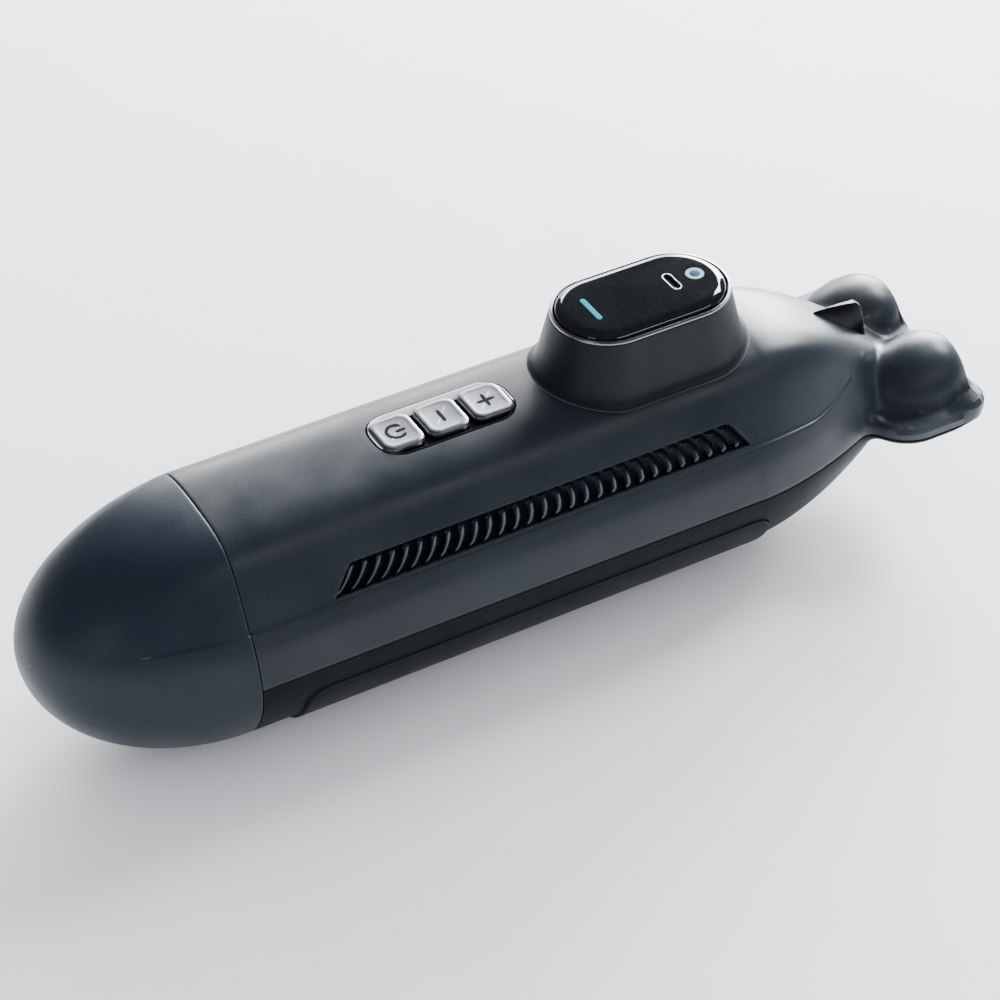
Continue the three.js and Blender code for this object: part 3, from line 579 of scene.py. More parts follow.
middle_stations = np.concatenate([[0.15, 0.2, 0.45, 1.0], np.arange(3, 176, 3.0)])
tail_sweep = np.linspace(0, math.pi / 2, 52)
tail_stations = np.concatenate([np.arange(176, 227.5, 1.1), [227.9, 228.0], np.arange(229, 255, 0.8),
                                255 + (tail_end - 0.03 - 255) * np.sin(tail_sweep)])
hull_stations = np.concatenate([middle_stations, tail_stations])
seam_upper = edge_angle(hull_stations, SEAM_HEIGHT + GAP / 2)
waist_line = np.minimum(waist(hull_stations), seam_upper - math.radians(6))
easing, UPPER_WALL = 0.35 / 40, 2.4
upper_columns = even_angles(hull_stations, [np.zeros(len(hull_stations)), waist_line - LEDGE_HALF,
                                            waist_line + LEDGE_HALF, seam_upper - easing, seam_upper],
                            [50, 7, 17, 1])
upper = half_hull("upper_hull_shell", hull_stations, upper_columns, UPPER_WALL, SEAM_HEIGHT + GAP / 2,
                  hull_plastic)
print("upper hull:", len(upper.data.polygons), "faces before cutting")

# %% [markdown]
# ### Windows and bores
#
# A louvre window is a slanted-ended slot that looks square on to the flank, so its cutter is a
# prism standing on the flank.  The pocket of the key tray is an upright prism with rounded corners.
# Each duct is a round bore that starts as a narrower throat.

# %% Cutters
LOUVRE = {"low": -1.55, "high": 7.9, "low_ends": (28.0, 175.7), "high_ends": (35.5, 169.5)}
JET_SIDE, DUCT_RADIUS, THROAT_RADIUS = 18.0, 9.6, 6.2
KEYPAD, TRAY_GAP = 83.2, 0.3
TRAY_LENGTH, TRAY_WIDTH, TRAY_CORNER = 47.7, 20.4, 8.2


def on_flank(station, up, out, side):
    """Points on a flank: up is the height along it, out the distance from the hull's axis."""
    y = side * (out * math.sin(FLANK) - up * math.cos(FLANK))
    return place(station, y, out * math.cos(FLANK) + up * math.sin(FLANK))


def window_corners(margin, round_size=1.2, steps=6):
    """Outline of the louvre window as station and height, grown by a margin, with eased corners."""
    low, high = LOUVRE["low"] - margin, LOUVRE["high"] + margin
    raw = np.array([(LOUVRE["low_ends"][0] - margin, low), (LOUVRE["low_ends"][1] + margin, low),
                    (LOUVRE["high_ends"][1] + margin, high), (LOUVRE["high_ends"][0] - margin, high)])
    before, after = np.roll(raw, 1, 0) - raw, np.roll(raw, -1, 0) - raw
    before /= np.linalg.norm(before, axis=1)[:, None]
    after /= np.linalg.norm(after, axis=1)[:, None]
    t = np.linspace(0, 1, steps)[None, :, None]
    start, end = raw[:, None] + before[:, None] * round_size, raw[:, None] + after[:, None] * round_size
    curve = start * (1 - t) ** 2 + 2 * raw[:, None] * t * (1 - t) + end * t ** 2
    return curve.reshape(-1, 2)


def window_prism(name, side, near, far):
    """Prism through the window's outline, from one depth to another."""
    outline = window_corners(0.0)
    rows = [on_flank(outline[:, 0], outline[:, 1], depth, side) for depth in (near, far)]
    return ring_piece(name, rows, hull_plastic)


def stadium(station, straight, radius, height, columns=24, along_y=False):
    """Ring round an oblong with half-round ends: straight is the half length between their centres."""
    turn = np.concatenate([np.linspace(-90, 90, columns), np.full(9, 90.0), np.linspace(90, 270, columns),
                           np.full(9, 270.0)])
    share = np.concatenate([np.ones(columns), np.linspace(1, -1, 11)[1:-1], -np.ones(columns),
                            np.linspace(-1, 1, 11)[1:-1]])
    x = share * straight + radius * np.cos(np.radians(turn))
    y = radius * np.sin(np.radians(turn))
    if along_y:
        x, y = -y, x
    return place(station - x, y, height)


def rounded_box(station, length, width, corner, height, steps=10, side=0.0):
    """Ring round a rectangle with rounded corners, seen from above."""
    turn = np.radians(np.concatenate([np.linspace(a, a + 90, steps) for a in (0, 90, 180, 270)]))
    ahead = np.repeat([1, -1, -1, 1], steps) * (length / 2 - corner) + corner * np.cos(turn)
    aside = np.repeat([1, 1, -1, -1], steps) * (width / 2 - corner) + corner * np.sin(turn)
    return place(station - ahead, aside + side, height)


def round_ring(station, radius, side=0.0, height=0.0, columns=64):
    """Ring round a line parallel to the hull's axis."""
    turn = np.linspace(0, 2 * math.pi, columns, endpoint=False)
    return place(station, side + radius * np.sin(turn), height + radius * np.cos(turn))


def bore(side):
    """Cutter for one jet duct."""
    steps = [(225, THROAT_RADIUS), (237, THROAT_RADIUS), (238.5, DUCT_RADIUS), (280, DUCT_RADIUS)]
    rings = [round_ring(station, radius, side) for station, radius in steps]
    return ring_piece("bore", rings, hull_plastic)


pocket_rings = [rounded_box(KEYPAD, TRAY_LENGTH + 2 * TRAY_GAP, TRAY_WIDTH + 2 * TRAY_GAP,
                            TRAY_CORNER + TRAY_GAP, z) for z in (30, 45)]
cut_away(upper, window_prism("port_cut", 1, 30, 45), window_prism("starboard_cut", -1, 30, 45),
         ring_piece("pocket", pocket_rings, hull_plastic), bore(JET_SIDE), bore(-JET_SIDE))
fit(upper, "hull", "hull_slate", "upper_hull")

# %% [markdown]
# ## The lower hull and the keel cover
#
# The lower hull is the same kind of shell, open upwards.  A shallow recess along its belly takes
# the keel cover, which stands a millimetre proud and has rounded corners.  Both come from one
# function: a slab that follows the skin between two levels.

# %% A slab that follows the belly
def belly_slab(name, margin, outer_level, inner_level, material, eased=0.0, flat=False):
    """Slab between two levels off the skin, with rounded corners in the belly's developed outline."""
    fore, aft, corner = 15 + margin, 182 - margin, 7.0
    near = corner * (1 - np.cos(np.linspace(0, math.pi / 2, 9)))
    between = np.linspace(fore + corner, aft - corner, 56)[1:-1]
    station = np.concatenate([fore + near, between, (aft - near)[::-1]])
    inset = np.zeros(len(station))
    inset[:9] = corner - np.sqrt(np.maximum(corner ** 2 - (corner - near) ** 2, 0))
    inset[-9:] = inset[:9][::-1]
    start = edge_angle(station, -11.8 - margin) + inset / 42
    share = np.concatenate([[0, 0.006, 0.016], np.linspace(0.03, 0.97, 61), [0.984, 0.994, 1]])
    angle = start[:, None] + (2 * math.pi - 2 * start)[:, None] * share
    level = np.full(angle.shape, float(outer_level))
    if eased:
        level[:, [0, -1]], level[:, [1, -2]] = outer_level - eased, outer_level - eased * 0.25
        level[[0, -1]] = outer_level - eased
    outer = on_skin(station[:, None], angle, level)
    inner = on_skin(station[:, None], angle, inner_level)
    if flat:
        outer[..., 2] = np.maximum(outer[..., 2], 0)
    rows, columns = angle.shape
    points = np.concatenate([outer.reshape(-1, 3), inner.reshape(-1, 3)])
    top = grid_faces(rows, columns, wrap=False)
    bottom = [face[::-1] for face in grid_faces(rows, columns, start=rows * columns, wrap=False)]
    return piece(name, points, top + bottom + skirt_faces(rows, columns).tolist(), material)


# %% The lower hull
seam_lower = edge_angle(hull_stations, SEAM_HEIGHT - GAP / 2)
keel_radius = skin_radius(hull_stations, np.full(len(hull_stations), math.pi))
lower_keep = keel_radius > -(SEAM_HEIGHT - GAP / 2) + 0.12
lower_stations, lower_start = hull_stations[lower_keep], seam_lower[lower_keep]
lower_stops = [lower_start, lower_start + easing, np.full(len(lower_stations), math.pi)]
lower_columns = even_angles(lower_stations, lower_stops, [1, 54])
LOWER_WALL = 4.0
lower = half_hull("lower_hull_shell", lower_stations, lower_columns, LOWER_WALL, SEAM_HEIGHT - GAP / 2,
                  belly_plastic)
cut_away(lower, belly_slab("recess", 0.0, 4.0, -1.9, belly_plastic), bore(JET_SIDE), bore(-JET_SIDE))
fit(lower, "hull", "lower_slate", "lower_hull")

# %% The keel cover and its screws
SCREWS = [(34, 5), (34, -5), (163, 5), (163, -5)]


def post_rows(station, side, profile, columns=40, sides=0):
    """Rings round an upright line.  profile: radius and height pairs.  sides: 6 for a hexagon."""
    turn = np.linspace(0, 2 * math.pi, columns, endpoint=False)
    shape = np.ones(columns)
    if sides:
        part = math.pi / sides
        shape = math.cos(part) / np.cos((turn + part) % (2 * part) - part)
    return [place(station - radius * shape * np.cos(turn), side + radius * shape * np.sin(turn), height)
            for radius, height in profile]


cover = belly_slab("keel_cover_shell", 0.3, 1.1, -1.6, belly_plastic, eased=0.5, flat=True)
SINK = [(2.75, -45), (2.75, -41.1)]
sinks = [ring_piece("sink", post_rows(station, side, SINK), belly_plastic) for station, side in SCREWS]
cut_away(cover, *sinks)
fit(cover, "hull", "lower_slate", "keel_cover")
HEAD = [(0.4, -41.15), (2.3, -41.15), (2.4, -41.3), (2.4, -41.75), (2.3, -41.93), (2.1, -42.0), (1.35, -42.0)]
for number, (station, side) in enumerate(SCREWS, 1):
    head = post_rows(station, side, HEAD)
    socket = post_rows(station, side, [(1.25, -41.98), (1.22, -41.5), (0.5, -41.4)], sides=6)
    screw = ring_piece(f"keel_screw_head_{number}", head + socket, steel)
    fit(screw, "hull", "steel", f"keel_screw_{number}")

# %% [markdown]
# ## The louvres
#
# Water is drawn in through a long window on each flank.  It is filled by one glossy moulding: a
# back plate with about thirty slats.  Each slat leans, so that its fore edge stands nearly flush
# with the flank and its aft edge dips behind the next, and its upper end curls inwards.  The curl
# is what catches the light as a row of short dashes.

# %% One louvre bank
def louvre_bank(name, side, slats=29):
    """Back plate and slats in one mesh.  A slat is a grid: across it the face dips aft, along it the
    ends curl in, and a second grid below closes it."""
    across, along = np.meshgrid(np.linspace(0, 1, 7), np.linspace(0, 1, 15), indexing="ij")
    low, high = LOUVRE["low"] + 0.15, LOUVRE["high"] - 0.15
    number = np.arange(slats)[:, None, None]
    height = low + (high - low) * along[None]
    fore = LOUVRE["low_ends"][0] + (LOUVRE["high_ends"][0] - LOUVRE["low_ends"][0]) * along
    aft = LOUVRE["low_ends"][1] + (LOUVRE["high_ends"][1] - LOUVRE["low_ends"][1]) * along
    share = (number + 0.10 + 0.74 * across[None]) / slats
    bow = 1.3 * np.sin(math.pi * along)
    station = fore[None] + (aft - fore)[None] * share + bow[None] - 0.6
    curl = 1.6 * smoothstep(along, 0.80, 1.0) ** 1.5 + 0.9 * (1 - smoothstep(along, 0, 0.10))
    face = 37.0 - 1.9 * across ** 1.4 - 0.25 * (1 - across) ** 6 - curl
    top = on_flank(station, height, face[None], side)
    under = on_flank(station, height, 33.9, side)
    rows, columns = across.shape
    total = rows * columns
    sheet = np.array(grid_faces(rows, columns, wrap=False))
    one = np.concatenate([sheet, sheet[:, ::-1] + total, skirt_faces(rows, columns)])
    points = np.concatenate([top.reshape(slats, -1, 3), under.reshape(slats, -1, 3)], 1)
    faces = (one[None] + (np.arange(slats) * 2 * total)[:, None, None]).reshape(-1, 4)
    if side < 0:
        faces = faces[:, ::-1]
    plate = window_corners(1.0)
    start = slats * 2 * total
    corners = len(plate)
    back = np.concatenate([on_flank(plate[:, 0], plate[:, 1], depth, side) for depth in (34.4, 33.0)])
    front_ring, back_ring = start + np.arange(corners), start + corners + np.arange(corners)
    walls = np.stack([front_ring, np.roll(front_ring, -1), np.roll(back_ring, -1), back_ring], -1).tolist()
    plate_faces = walls + [front_ring[::-1].tolist(), back_ring.tolist()]
    if side < 0:
        plate_faces = [f[::-1] for f in plate_faces]
    return piece(name, np.concatenate([points.reshape(-1, 3), back]), faces.tolist() + plate_faces,
                 navy_polish, crease=40, merge=1e-7)


for side_name, side in (("port", 1), ("starboard", -1)):
    fit(louvre_bank(f"{side_name}_louvre_bank", side), "hull", "navy_gloss", f"{side_name}_louvre")

# %% [markdown]
# ## The deck keypad
#
# Three metal keys sit in one polished black tray.  A near-white painted reflection of the lamps lies
# on its flared wall on the starboard side and round the nose end, and the rest stays black.  The
# painted reflection is the same sweep round the tray with only its near-white columns kept.  A key
# is a rounded square whose top is slightly dished.  Its sign is engraved and filled with black:
# power, minus and plus, drawn to be read with the tail held upwards.

# %% The tray
def tray_ring(inset, height):
    """Ring of the tray at an inset from the pocket's outline."""
    length, width = TRAY_LENGTH - 2 * inset, TRAY_WIDTH - 2 * inset
    return rounded_box(KEYPAD, length, width, TRAY_CORNER - inset, height, steps=14)


tray_profile = [(0, 35.6), (0, 38.6), (0.15, 38.85), (0.4, 38.95), (0.7, 38.8), (1.0, 38.3), (1.25, 37.7),
                (1.7, 37.2), (2.6, 37.0), (4.0, 37.0)]
tray = ring_piece("keypad_tray", [tray_ring(i, z) for i, z in tray_profile], tray_black)
fit(tray, "hull", "black_gloss", "keypad_bezel")

# The sweep below is a painted reflection of the lamps, a near-white band on the tray's flared wall.
painted_reflection_profile = [(0.5, 38.6), (0.5, 39.0), (0.9, 38.95), (1.9, 38.1), (2.6, 37.2), (2.6, 36.9), (1.2, 36.9)]
painted_reflection_sections = np.stack([tray_ring(i, z) for i, z in painted_reflection_profile], 1)
ahead = painted_reflection_sections[:, 0, 0] * 1000 - (SEAM_X - KEYPAD)
# Painted reflection: keep only the columns on the starboard side and round the nose end.
is_painted_reflection = painted_reflection_sections[:, 0, 1] * 1000 < 0.31 * ahead - 1.8
first = int(np.flatnonzero(is_painted_reflection & ~np.roll(is_painted_reflection, 1))[0])
painted_reflection_sections = np.roll(painted_reflection_sections, -first, 0)[:int(is_painted_reflection.sum())]
trim = ring_piece("keypad_tray_painted_reflection", painted_reflection_sections, tray_painted_reflection)
fit(trim, "hull", "key_metal")


# %% The keys and their signs
KEYS = {"power": 67.6, "minus": KEYPAD, "plus": 98.8}
KEY_LENGTH, KEY_WIDTH, KEY_CORNER, KEY_TOP = 14.2, 15.4, 3.4, 39.9
KEY_EDGE = [(0.5, 2.0), (0.0, 1.75), (0.0, 1.1), (0.12, 0.6), (0.4, 0.25), (0.9, 0.08), (1.6, 0.0)]


def key_top(ahead, aside):
    """Height of a key's face: a shallow dish that rises towards the rounded edge."""
    return 39.62 + 0.22 * np.clip((ahead / 6.5) ** 2 + (aside / 7.3) ** 2, 0, 1)


def key_rows(station):
    """Rings of one key from the foot of its skirt up, over the rounded edge and in to the middle."""
    rows = []
    for inset, drop in KEY_EDGE:
        rows.append(rounded_box(station, KEY_LENGTH - 2 * inset, KEY_WIDTH - 2 * inset,
                                KEY_CORNER - 0.5 * inset, KEY_TOP - drop, steps=12))
    inner = rows[-1]
    centre = place(station, 0, 0)
    for share in np.linspace(0.93, 0.05, 9):
        ring = centre + (inner - centre) * share
        ahead, aside = (ring[:, 0] - centre[0]) * 1000, ring[:, 1] * 1000
        ring[:, 2] = (key_top(ahead, aside) + KEEL_DEPTH) / 1000
        rows.append(ring)
    return rows


def inlay(name, station, strokes, body):
    """Thin black fillings that lie in a key's face, one closed slab for each stroke."""
    points, faces = [], []
    for path, width in strokes:
        path = np.asarray(path, float)
        step = np.gradient(path, axis=0)
        step /= np.linalg.norm(step, axis=1)[:, None]
        normal = np.stack([-step[:, 1], step[:, 0]], -1) * width / 2
        tip = np.clip(np.minimum(np.arange(len(path)), np.arange(len(path))[::-1]) / 3, 0, 1)
        taper_in = np.sqrt(np.clip(1 - (1 - tip) ** 2, 0.05, 1))[:, None]
        left, right = path + normal * taper_in, path - normal * taper_in
        start = sum(len(p) for p in points)
        rows = []
        for lift in (0.09, -0.25):
            for line in (left, right):
                z = key_top(line[:, 0], line[:, 1]) + lift
                rows.append(place(station - line[:, 0], line[:, 1], z))
        top_left, top_right, low_left, low_right = rows
        ring = np.stack([top_left, top_right, low_right, low_left], 1)
        points.append(ring.reshape(-1, 3))
        faces += grid_faces(len(path), 4, start=start)
        last = start + (len(path) - 1) * 4
        faces += [[start + k for k in (3, 2, 1, 0)], [last + k for k in range(4)]]
    made = piece(name, np.concatenate(points), faces, ink_black, crease=50, merge=1e-8)
    fit(made, body, "black_gloss")


def bar(ahead0, aside0, ahead1, aside1, steps=12):
    """Straight path between two points on a key."""
    t = np.linspace(0, 1, steps)[:, None]
    return np.array([ahead0, aside0]) * (1 - t) + np.array([ahead1, aside1]) * t


opening = np.radians(np.linspace(180 + 38, 540 - 38, 40))
power_arc = np.stack([3.0 * np.cos(opening), 3.0 * np.sin(opening)], -1)
SIGNS = {
    "power": [(power_arc, 1.1), (bar(0.3, 0, -3.3, 0), 1.1)],
    "minus": [(bar(0, -3.1, 0, 3.1), 1.2)],
    "plus": [(bar(0, -3.2, 0, 3.2), 1.2), (bar(-3.2, 0, 3.2, 0), 1.2)],
}
for key_name, station in KEYS.items():
    key = ring_piece(f"{key_name}_key_cap", key_rows(station), key_metal, crease=50)
    fit(key, f"{key_name}_key", "key_metal", f"{key_name}_button")
    inlay(f"{key_name}_key_sign", station, SIGNS[key_name], f"{key_name}_key")

# %% [markdown]
# ## The tower
#
# The tower is a profile carried round an oblong path: up the outside from the deck, over the
# rounded rim, and down the inside to the deck again.  Its foot flares in a small fillet and follows
# the deck, whose edges fall away, so the height of the deck is worked out under each column first.

# %% The tower's wall
TOWER, TOWER_TOP, TOWER_ROUND, TOWER_STRAIGHT = 154.2, 57.6, 17.6, 12.8


def deck_height(station, side):
    """Height of the skin above the hull's axis at a place in plan."""
    station, side = np.broadcast_arrays(station, side)
    return halve(np.full(station.shape, 5.0), np.full(station.shape, 60.0),
                 lambda z: skin_distance(station, side, z) > 0)


def tower_row(height_share, inset, foot, columns=44):
    """Ring of the tower: the share runs from 0 on the deck to 1 at the rim."""
    base = stadium(TOWER, 14.9, 20.6, 0.0, columns)
    deck = deck_height(SEAM_X - base[:, 0] * 1000, base[:, 1] * 1000)
    height = deck + (TOWER_TOP - deck) * height_share
    slope = np.clip((TOWER_TOP - height) / 25.6, 0, 1)
    ring = stadium(0.0, 1.0, 0.0, 0.0, columns)
    share = ring[:, 0] * 1000 - SEAM_X
    turn = stadium(0.0, 0.0, 1.0, 0.0, columns)
    normal_x, normal_y = turn[:, 0] * 1000 - SEAM_X, turn[:, 1] * 1000
    radius = TOWER_ROUND + 3.8 * slope - inset + foot
    straight = TOWER_STRAIGHT + 2.8 * slope
    return place(TOWER - share * straight - radius * normal_x, radius * normal_y, height)


rise = np.concatenate([[0, 0.012, 0.03, 0.06, 0.1, 0.15, 0.21], np.linspace(0.3, 0.95, 8), [0.975, 0.988]])
outside = [tower_row(q, 0, 2.1 * math.exp(-q * 17)) for q in rise]
over_rim = [(0.995, 0.06), (0.9995, 0.25), (1.0, 0.5), (1.0, 1.1), (0.99, 1.35)]
rim_over = [tower_row(q, inset, 0) for q, inset in over_rim]
inside = [tower_row(q, 1.45, 0) for q in (0.95, 0.7, 0.4, 0.1, 0.0)]
housing = ring_piece("tower_housing", outside + rim_over + inside, tower_plastic, ends=False)
fit(housing, "hull", "lower_slate", "tower_shell")

# %% [markdown]
# The rim is a thin metal ring round the glass.  The glass itself is a polished black slab with a
# broad bevel, cut out for the light bar, the charging port and the round light.

# %% The rim and the glass
LIGHT_BAR, CHARGING_PORT, RING_LIGHT = 136.2, 165.6, 174
rim_profile = [(17.35, 57.62), (17.5, 57.9), (17.45, 58.4), (17.2, 58.75), (16.8, 58.85), (16.45, 58.6),
               (16.35, 57.9), (16.5, 57.62)]
glass_profile = [(10.0, 55.9), (15.6, 55.9), (15.9, 56.2), (15.95, 58.2), (15.9, 58.7), (15.7, 59.1),
                 (15.2, 59.6), (14.0, 60.35), (13.5, 60.58), (13.0, 60.68), (12.4, 60.7), (6.0, 60.7)]


def round_tower(profile):
    """Rings round the tower's oblong.  profile: radius and height pairs."""
    return [stadium(TOWER, TOWER_STRAIGHT, radius, height, 44) for radius, height in profile]


def slot_rows(station, straight, profile):
    """Rings round a short oblong that lies across the boat.  profile: radius and height pairs."""
    return [stadium(station, straight, radius, height, 14, along_y=True) for radius, height in profile]


rim = ring_piece("tower_rim", round_tower(rim_profile), rim_metal, ends=False)
fit(rim, "hull", "trim_grey", "tower_trim_ring")
glass = ring_piece("status_glass", round_tower(glass_profile), black_polish)
openings = [slot_rows(LIGHT_BAR, 5.15, [(0.95, 50), (0.95, 66)]),
            slot_rows(CHARGING_PORT, 3.0, [(1.75, 50), (1.75, 66)]),
            post_rows(RING_LIGHT, 0, [(3.05, 50), (3.05, 66)], 48)]
cut_away(glass, *[ring_piece("glass_cut", rows, black_polish) for rows in openings])
fit(glass, "hull", "panel_black", "panel_glass")

# %% [markdown]
# The lights are small lenses lit from below.  A lens that glows needs an emission colour as well as
# a body colour.  Its body is a fine milky plastic, so that the glow doesn't look like a flat sticker.

# %% Lit lenses
def lit_finish(name, colour, strength):
    """A milky lens with a glow."""
    body = tuple(c * 0.3 for c in colour)
    material = finish(name, body, 0.3, specular=0.04, grain=0.3, depth=0.02, drift=0.05)
    shader = material.node_tree.nodes["Principled BSDF"]
    shader.inputs["Emission Color"].default_value = (*colour, 1)
    shader.inputs["Emission Strength"].default_value = strength
    return material


cyan_glow = lit_finish("cyan_light", (0.0, 0.24, 0.29), 1.7)
pale_glow = lit_finish("pale_light", (0.40, 0.74, 0.92), 0.8)
blue_glow = lit_finish("blue_light", (0.0, 0.06, 0.17), 0.8)

bar_rows = slot_rows(LIGHT_BAR, 5.0, [(0.6, 59.4), (0.88, 59.5), (0.88, 60.68), (0.8, 60.74), (0.4, 60.76)])
fit(ring_piece("light_bar", bar_rows, cyan_glow), "hull", "light_cyan", "light_bar_lens")
halo_profile = [(1.75, 59.5), (2.95, 59.5), (2.95, 60.66), (2.85, 60.74), (1.85, 60.74), (1.75, 60.66)]
halo_rows = post_rows(RING_LIGHT, 0, halo_profile, 48)
fit(ring_piece("ring_light", halo_rows, pale_glow, ends=False), "hull", "light_pale", "ring_light_halo")
centre_profile = [(0.6, 59.5), (1.6, 59.5), (1.62, 60.5), (1.5, 60.6), (0.5, 60.64)]
centre_rows = post_rows(RING_LIGHT, 0, centre_profile, 48)
fit(ring_piece("ring_light_pupil", centre_rows, blue_glow), "hull", "light_cyan", "ring_light_centre")

# %% The charging port
port_profile = [(1.27, 53.4), (1.27, 60.55), (1.4, 60.66), (1.6, 60.66), (1.66, 60.58), (1.66, 53.4)]
shell_rows = slot_rows(CHARGING_PORT, 2.86, port_profile)
fit(ring_piece("charging_port_shell", shell_rows, steel, ends=False), "hull", "steel", "usb_socket")
tongue_rows = [rounded_box(CHARGING_PORT, 0.7, 6.6, 0.3, z, 4) for z in (53.0, 59.6, 59.8)]
fit(ring_piece("charging_port_tongue", tongue_rows, ink_black), "hull", "steel")

# %% [markdown]
# ## The stern fin
#
# The fin is a small satin black blade.  It is a loft of six-point sections along the boat: a sharp
# tip ahead, then wider and taller, with a raked rear face.

# %% The fin
def fin_section(station, *port):
    """Six points round one section.  port: half width and height of its crest, shoulder and foot."""
    loop = np.array([*port, *[(-half_width, height) for half_width, height in port[::-1]]])
    return place(station, loop[:, 0], loop[:, 1])


fin_rows = [fin_section(221.6, (0.12, 28.0), (0.25, 27.4), (0.3, 26.4)),
            fin_section(227, (0.35, 27.9), (1.7, 25.4), (2.7, 20.5)),
            fin_section(232.5, (0.6, 27.4), (2.6, 23.4), (4.2, 15.5)),
            fin_section(237.6, (0.9, 26.7), (3.2, 21.4), (5.2, 10.5)),
            fin_section(239.8, (1.1, 24.8), (3.3, 19.6), (5.3, 9.5)),
            fin_section(240.8, (1.2, 20.5), (3.1, 16.0), (5.2, 9.0))]
fin = ring_piece("stern_fin_blade", fin_rows, fin_black, crease=20)
bevel = fin.modifiers.new("soft_edges", "BEVEL")
bevel.width, bevel.segments, bevel.limit_method = 0.00028, 2, "ANGLE"
fit(fin, "hull", "black_gloss", "stern_fin")

# %% [markdown]
# ## The jets
#
# Just inside each duct's rear end sits a guide-vane nozzle, and ahead of it an impeller.  The nozzle
# is a turned ring and a core joined by thin vanes.  The impeller's blades are twisted sheets with a
# real thickness, and a cone-shaped nut turns with the shaft behind the nozzle.  Small parts that were
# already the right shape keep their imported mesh.

# %% Turned parts and vanes
def turned(name, profile, side, material, columns=64, ends=True):
    """A body turned about a line along the boat.  profile: station and radius pairs."""
    return ring_piece(name, [round_ring(s, r, side, 0, columns) for s, r in profile], material, ends=ends)


def vane(side, phase, stations, radii, twist, thick, rows=12):
    """Points of one blade: a thin sheet from the inner to the outer radius that turns as it runs aft."""
    along = np.linspace(0, 1, rows)
    out = np.linspace(0, 1, 6)
    loop = np.concatenate([out, out[::-1]])
    face = np.concatenate([-np.ones(6), np.ones(6)])
    radius = radii[0] + (radii[1] - radii[0]) * loop[None]
    edge = np.sqrt(np.clip(1 - (2 * along - 1) ** 6, 0.02, 1))[:, None]
    angle = phase + twist * along[:, None] + face[None] * edge * thick / 2 / radius
    station = stations[0] + (stations[1] - stations[0]) * along[:, None] + 0 * radius
    return place(station, side + radius * np.sin(angle), radius * np.cos(angle))


def blades(name, count, side, material, **shape):
    """Several equal blades in one mesh."""
    points, faces = [], []
    for i in range(count):
        rows = vane(side, 2 * math.pi * i / count, **shape)
        start = i * rows.shape[0] * rows.shape[1]
        faces += grid_faces(rows.shape[0], rows.shape[1], start=start)
        last = start + (rows.shape[0] - 1) * rows.shape[1]
        faces += [list(range(start, start + rows.shape[1]))[::-1], list(range(last, last + rows.shape[1]))]
        points.append(rows.reshape(-1, 3))
    return piece(name, np.concatenate(points), faces, material, merge=1e-8)


# %% The jets themselves
bronze = finish("cast_bronze", (0.42, 0.27, 0.11), 0.34, metal=1.0, grain=0.3, depth=0.08, wear=0.6,
                worn=(0.75, 0.6, 0.35))
vane_plastic = finish("vane_plastic", (0.012, 0.014, 0.017), 0.4, grain=0.4, depth=0.08, wear=0.4)
RING_PROFILE = [(254, 8.5), (254.2, 8.3), (261.6, 8.3), (262, 8.6), (262, 9.1), (261.8, 9.3), (254.2, 9.3),
                (254, 9.1)]
CORE_PROFILE = [(254, 1.9), (254, 3.4), (254.4, 3.7), (260, 3.7), (262, 3.1), (262, 1.9)]
SPINNER_PROFILE = [(262.3, 0.5), (262.3, 2.9), (262.6, 3.0), (264.5, 2.3), (267, 1.1), (268.1, 0.5),
                   (268.4, 0.15)]
HUB_PROFILE = [(239, 1.6), (239, 2.2), (239.6, 2.8), (241, 3.2), (249.8, 3.2), (250, 3.0), (250, 1.6)]

for side_name, side, hand in (("port", JET_SIDE, 1), ("starboard", -JET_SIDE, -1)):
    ring = turned(f"{side_name}_nozzle_ring", RING_PROFILE, side, vane_plastic, ends=False)
    fit(ring, "hull", "inner_plastic", f"{side_name}_nozzle")
    core = turned(f"{side_name}_nozzle_core", CORE_PROFILE, side, vane_plastic, ends=False)
    fit(core, "hull", "inner_plastic")
    spinner = turned(f"{side_name}_spinner", SPINNER_PROFILE, side, steel)
    fit(spinner, f"{side_name}_drive", "steel")
    guides = blades(f"{side_name}_nozzle_vanes", 5, side, vane_plastic, stations=(255, 261),
                    radii=(3.4, 8.45), twist=-hand * 0.35, thick=1.0)
    fit(guides, "hull", "inner_plastic")
    hub = turned(f"{side_name}_impeller_hub", HUB_PROFILE, side, bronze)
    fit(hub, f"{side_name}_drive", "bronze", f"{side_name}_impeller")
    wheel = blades(f"{side_name}_impeller_blades", 4, side, bronze, stations=(240, 249), radii=(3.0, 8.6),
                   twist=hand * 1.08, thick=1.1)
    fit(wheel, f"{side_name}_drive", "bronze")

# %% [markdown]
# ## Under the nose
#
# Pulling the nose off shows the spigot of the front bulkhead, with its O-ring in a groove.  Both
# are profiles carried round the hull's own section, so they match the cap that slides over them.

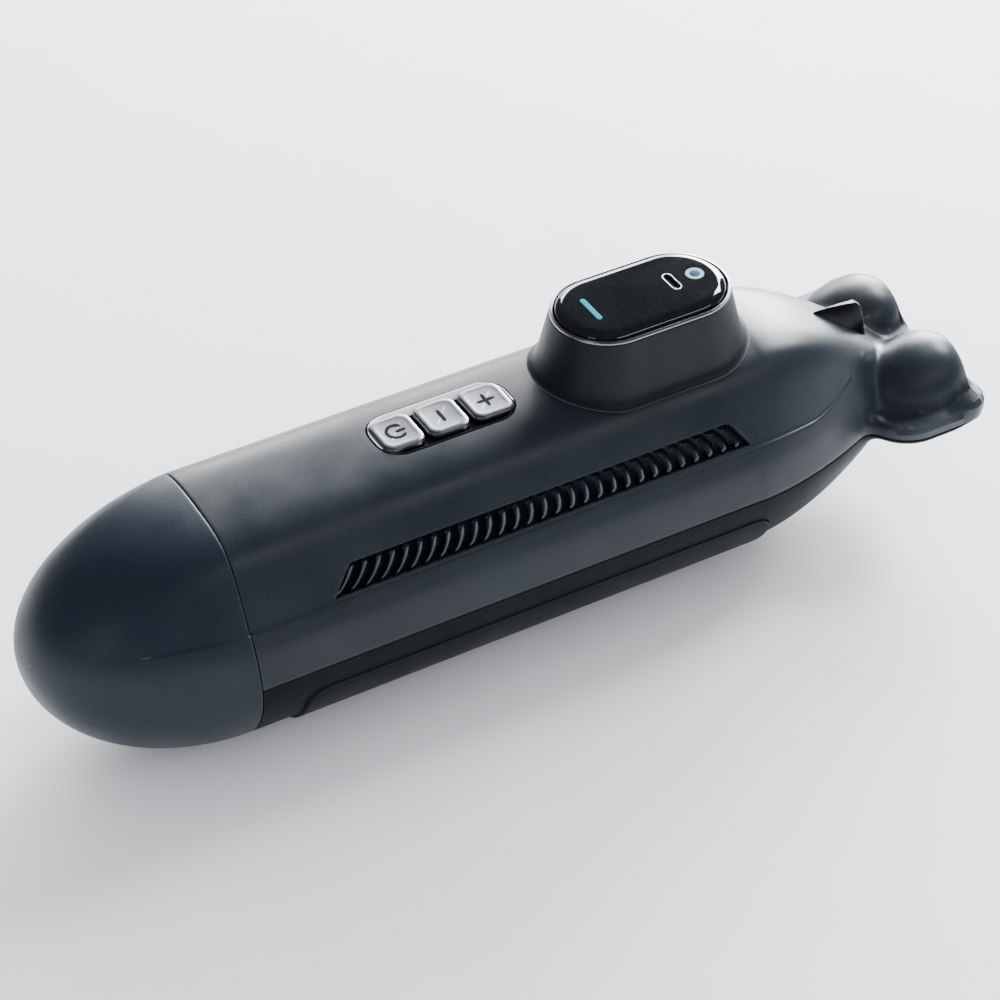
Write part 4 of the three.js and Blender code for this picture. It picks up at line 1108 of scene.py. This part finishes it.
# %% The spigot and its seal
spigot_plastic = finish("spigot_plastic", (0.016, 0.018, 0.021), 0.42, grain=0.4, depth=0.10, wear=0.4)
seal_rubber = finish("seal_rubber", (0.008, 0.008, 0.009), 0.6, grain=0.3, depth=0.08)
spigot_profile = [(8.0, -4.6), (8.0, -6.5), (2.2, -6.5), (2.0, -6.9), (2.0, None), (-9.6, None),
                  (-10, -4.2),
                  (-10, -3.4), (-9.7, -3.05), (-9.2, -2.95), (-6.25, -2.95), (-6.2, -4.7), (-3.4, -4.7),
                  (-3.35, -2.95), (-0.1, -2.95), (-0.1, -4.6)]
SPIGOT_BORE = 33.0
columns = full_round(np.array([0.0]))[0]
spigot_rows = []
for station, level in spigot_profile:
    if level is None:
        radius = np.full(columns.shape, SPIGOT_BORE)
    else:
        radius = skin_radius(max(station, -9.9), columns, level)
    spigot_rows.append(place(station, radius * np.sin(columns), radius * np.cos(columns)))
spigot = ring_piece("spigot", spigot_rows[2:] + spigot_rows[:2], spigot_plastic, ends=False)
fit(spigot, "hull", "inner_plastic", "front_bulkhead")
web_profile = [(2.0, 0.5), (2.0, 33.2), (7.9, 33.2), (7.9, 25.1), (17, 25.1), (17, 0.5)]
web = turned("spigot_web", web_profile, 0, spigot_plastic, columns=72)
fit(web, "hull", "inner_plastic")
bead = np.radians(np.linspace(0, 360, 14, endpoint=False))
seal_rows = [on_skin(np.full(columns.shape, -4.8 + 0.95 * math.cos(turn)), columns,
                     -3.62 + 0.85 * math.sin(turn)) for turn in bead]
fit(ring_piece("spigot_seal", seal_rows, seal_rubber, ends=False), "hull", "rubber", "nose_seal")

# %% [markdown]
# ## Finishes for the parts inside
#
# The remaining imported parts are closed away, but the model can be opened, so each gets a finish
# that suits its material: printed boards, wrapped cells, turned aluminium, rubber and steel.

# %% Give every carried part its finish
inner_finishes = {
    "rubber": seal_rubber, "steel": steel, "bronze": bronze, "inner_plastic": vane_plastic,
    "board_green": finish("board_lacquer", (0.012, 0.07, 0.035), 0.3, coat=0.4, grain=0.5, depth=0.05,
                          wear=0.3),
    "aluminium": finish("turned_aluminium", (0.58, 0.60, 0.62), 0.32, metal=1.0, grain=0.25, depth=0.06,
                        brushed=(6, 1, 1), wear=0.4, worn=(0.8, 0.8, 0.8)),
    "cell_wrap": finish("cell_wrap", (0.03, 0.16, 0.42), 0.35, coat=0.3, grain=0.8, depth=0.04, wear=0.3),
    "hull_slate": hull_plastic, "lower_slate": belly_plastic, "black_gloss": black_polish,
    "navy_gloss": navy_polish, "panel_black": black_polish, "trim_grey": rim_metal, "key_metal": key_metal,
    "light_cyan": cyan_glow, "light_pale": pale_glow,
}
slot_of = {part["node"]: part["material_slot"] for part in frame["record"]["subparts"]}
for node, carried in frame["nodes"].items():
    for slot in carried.material_slots:
        slot.material = inner_finishes[slot_of[node]]
print(len(frame["nodes"]), "packed parts have a finish")
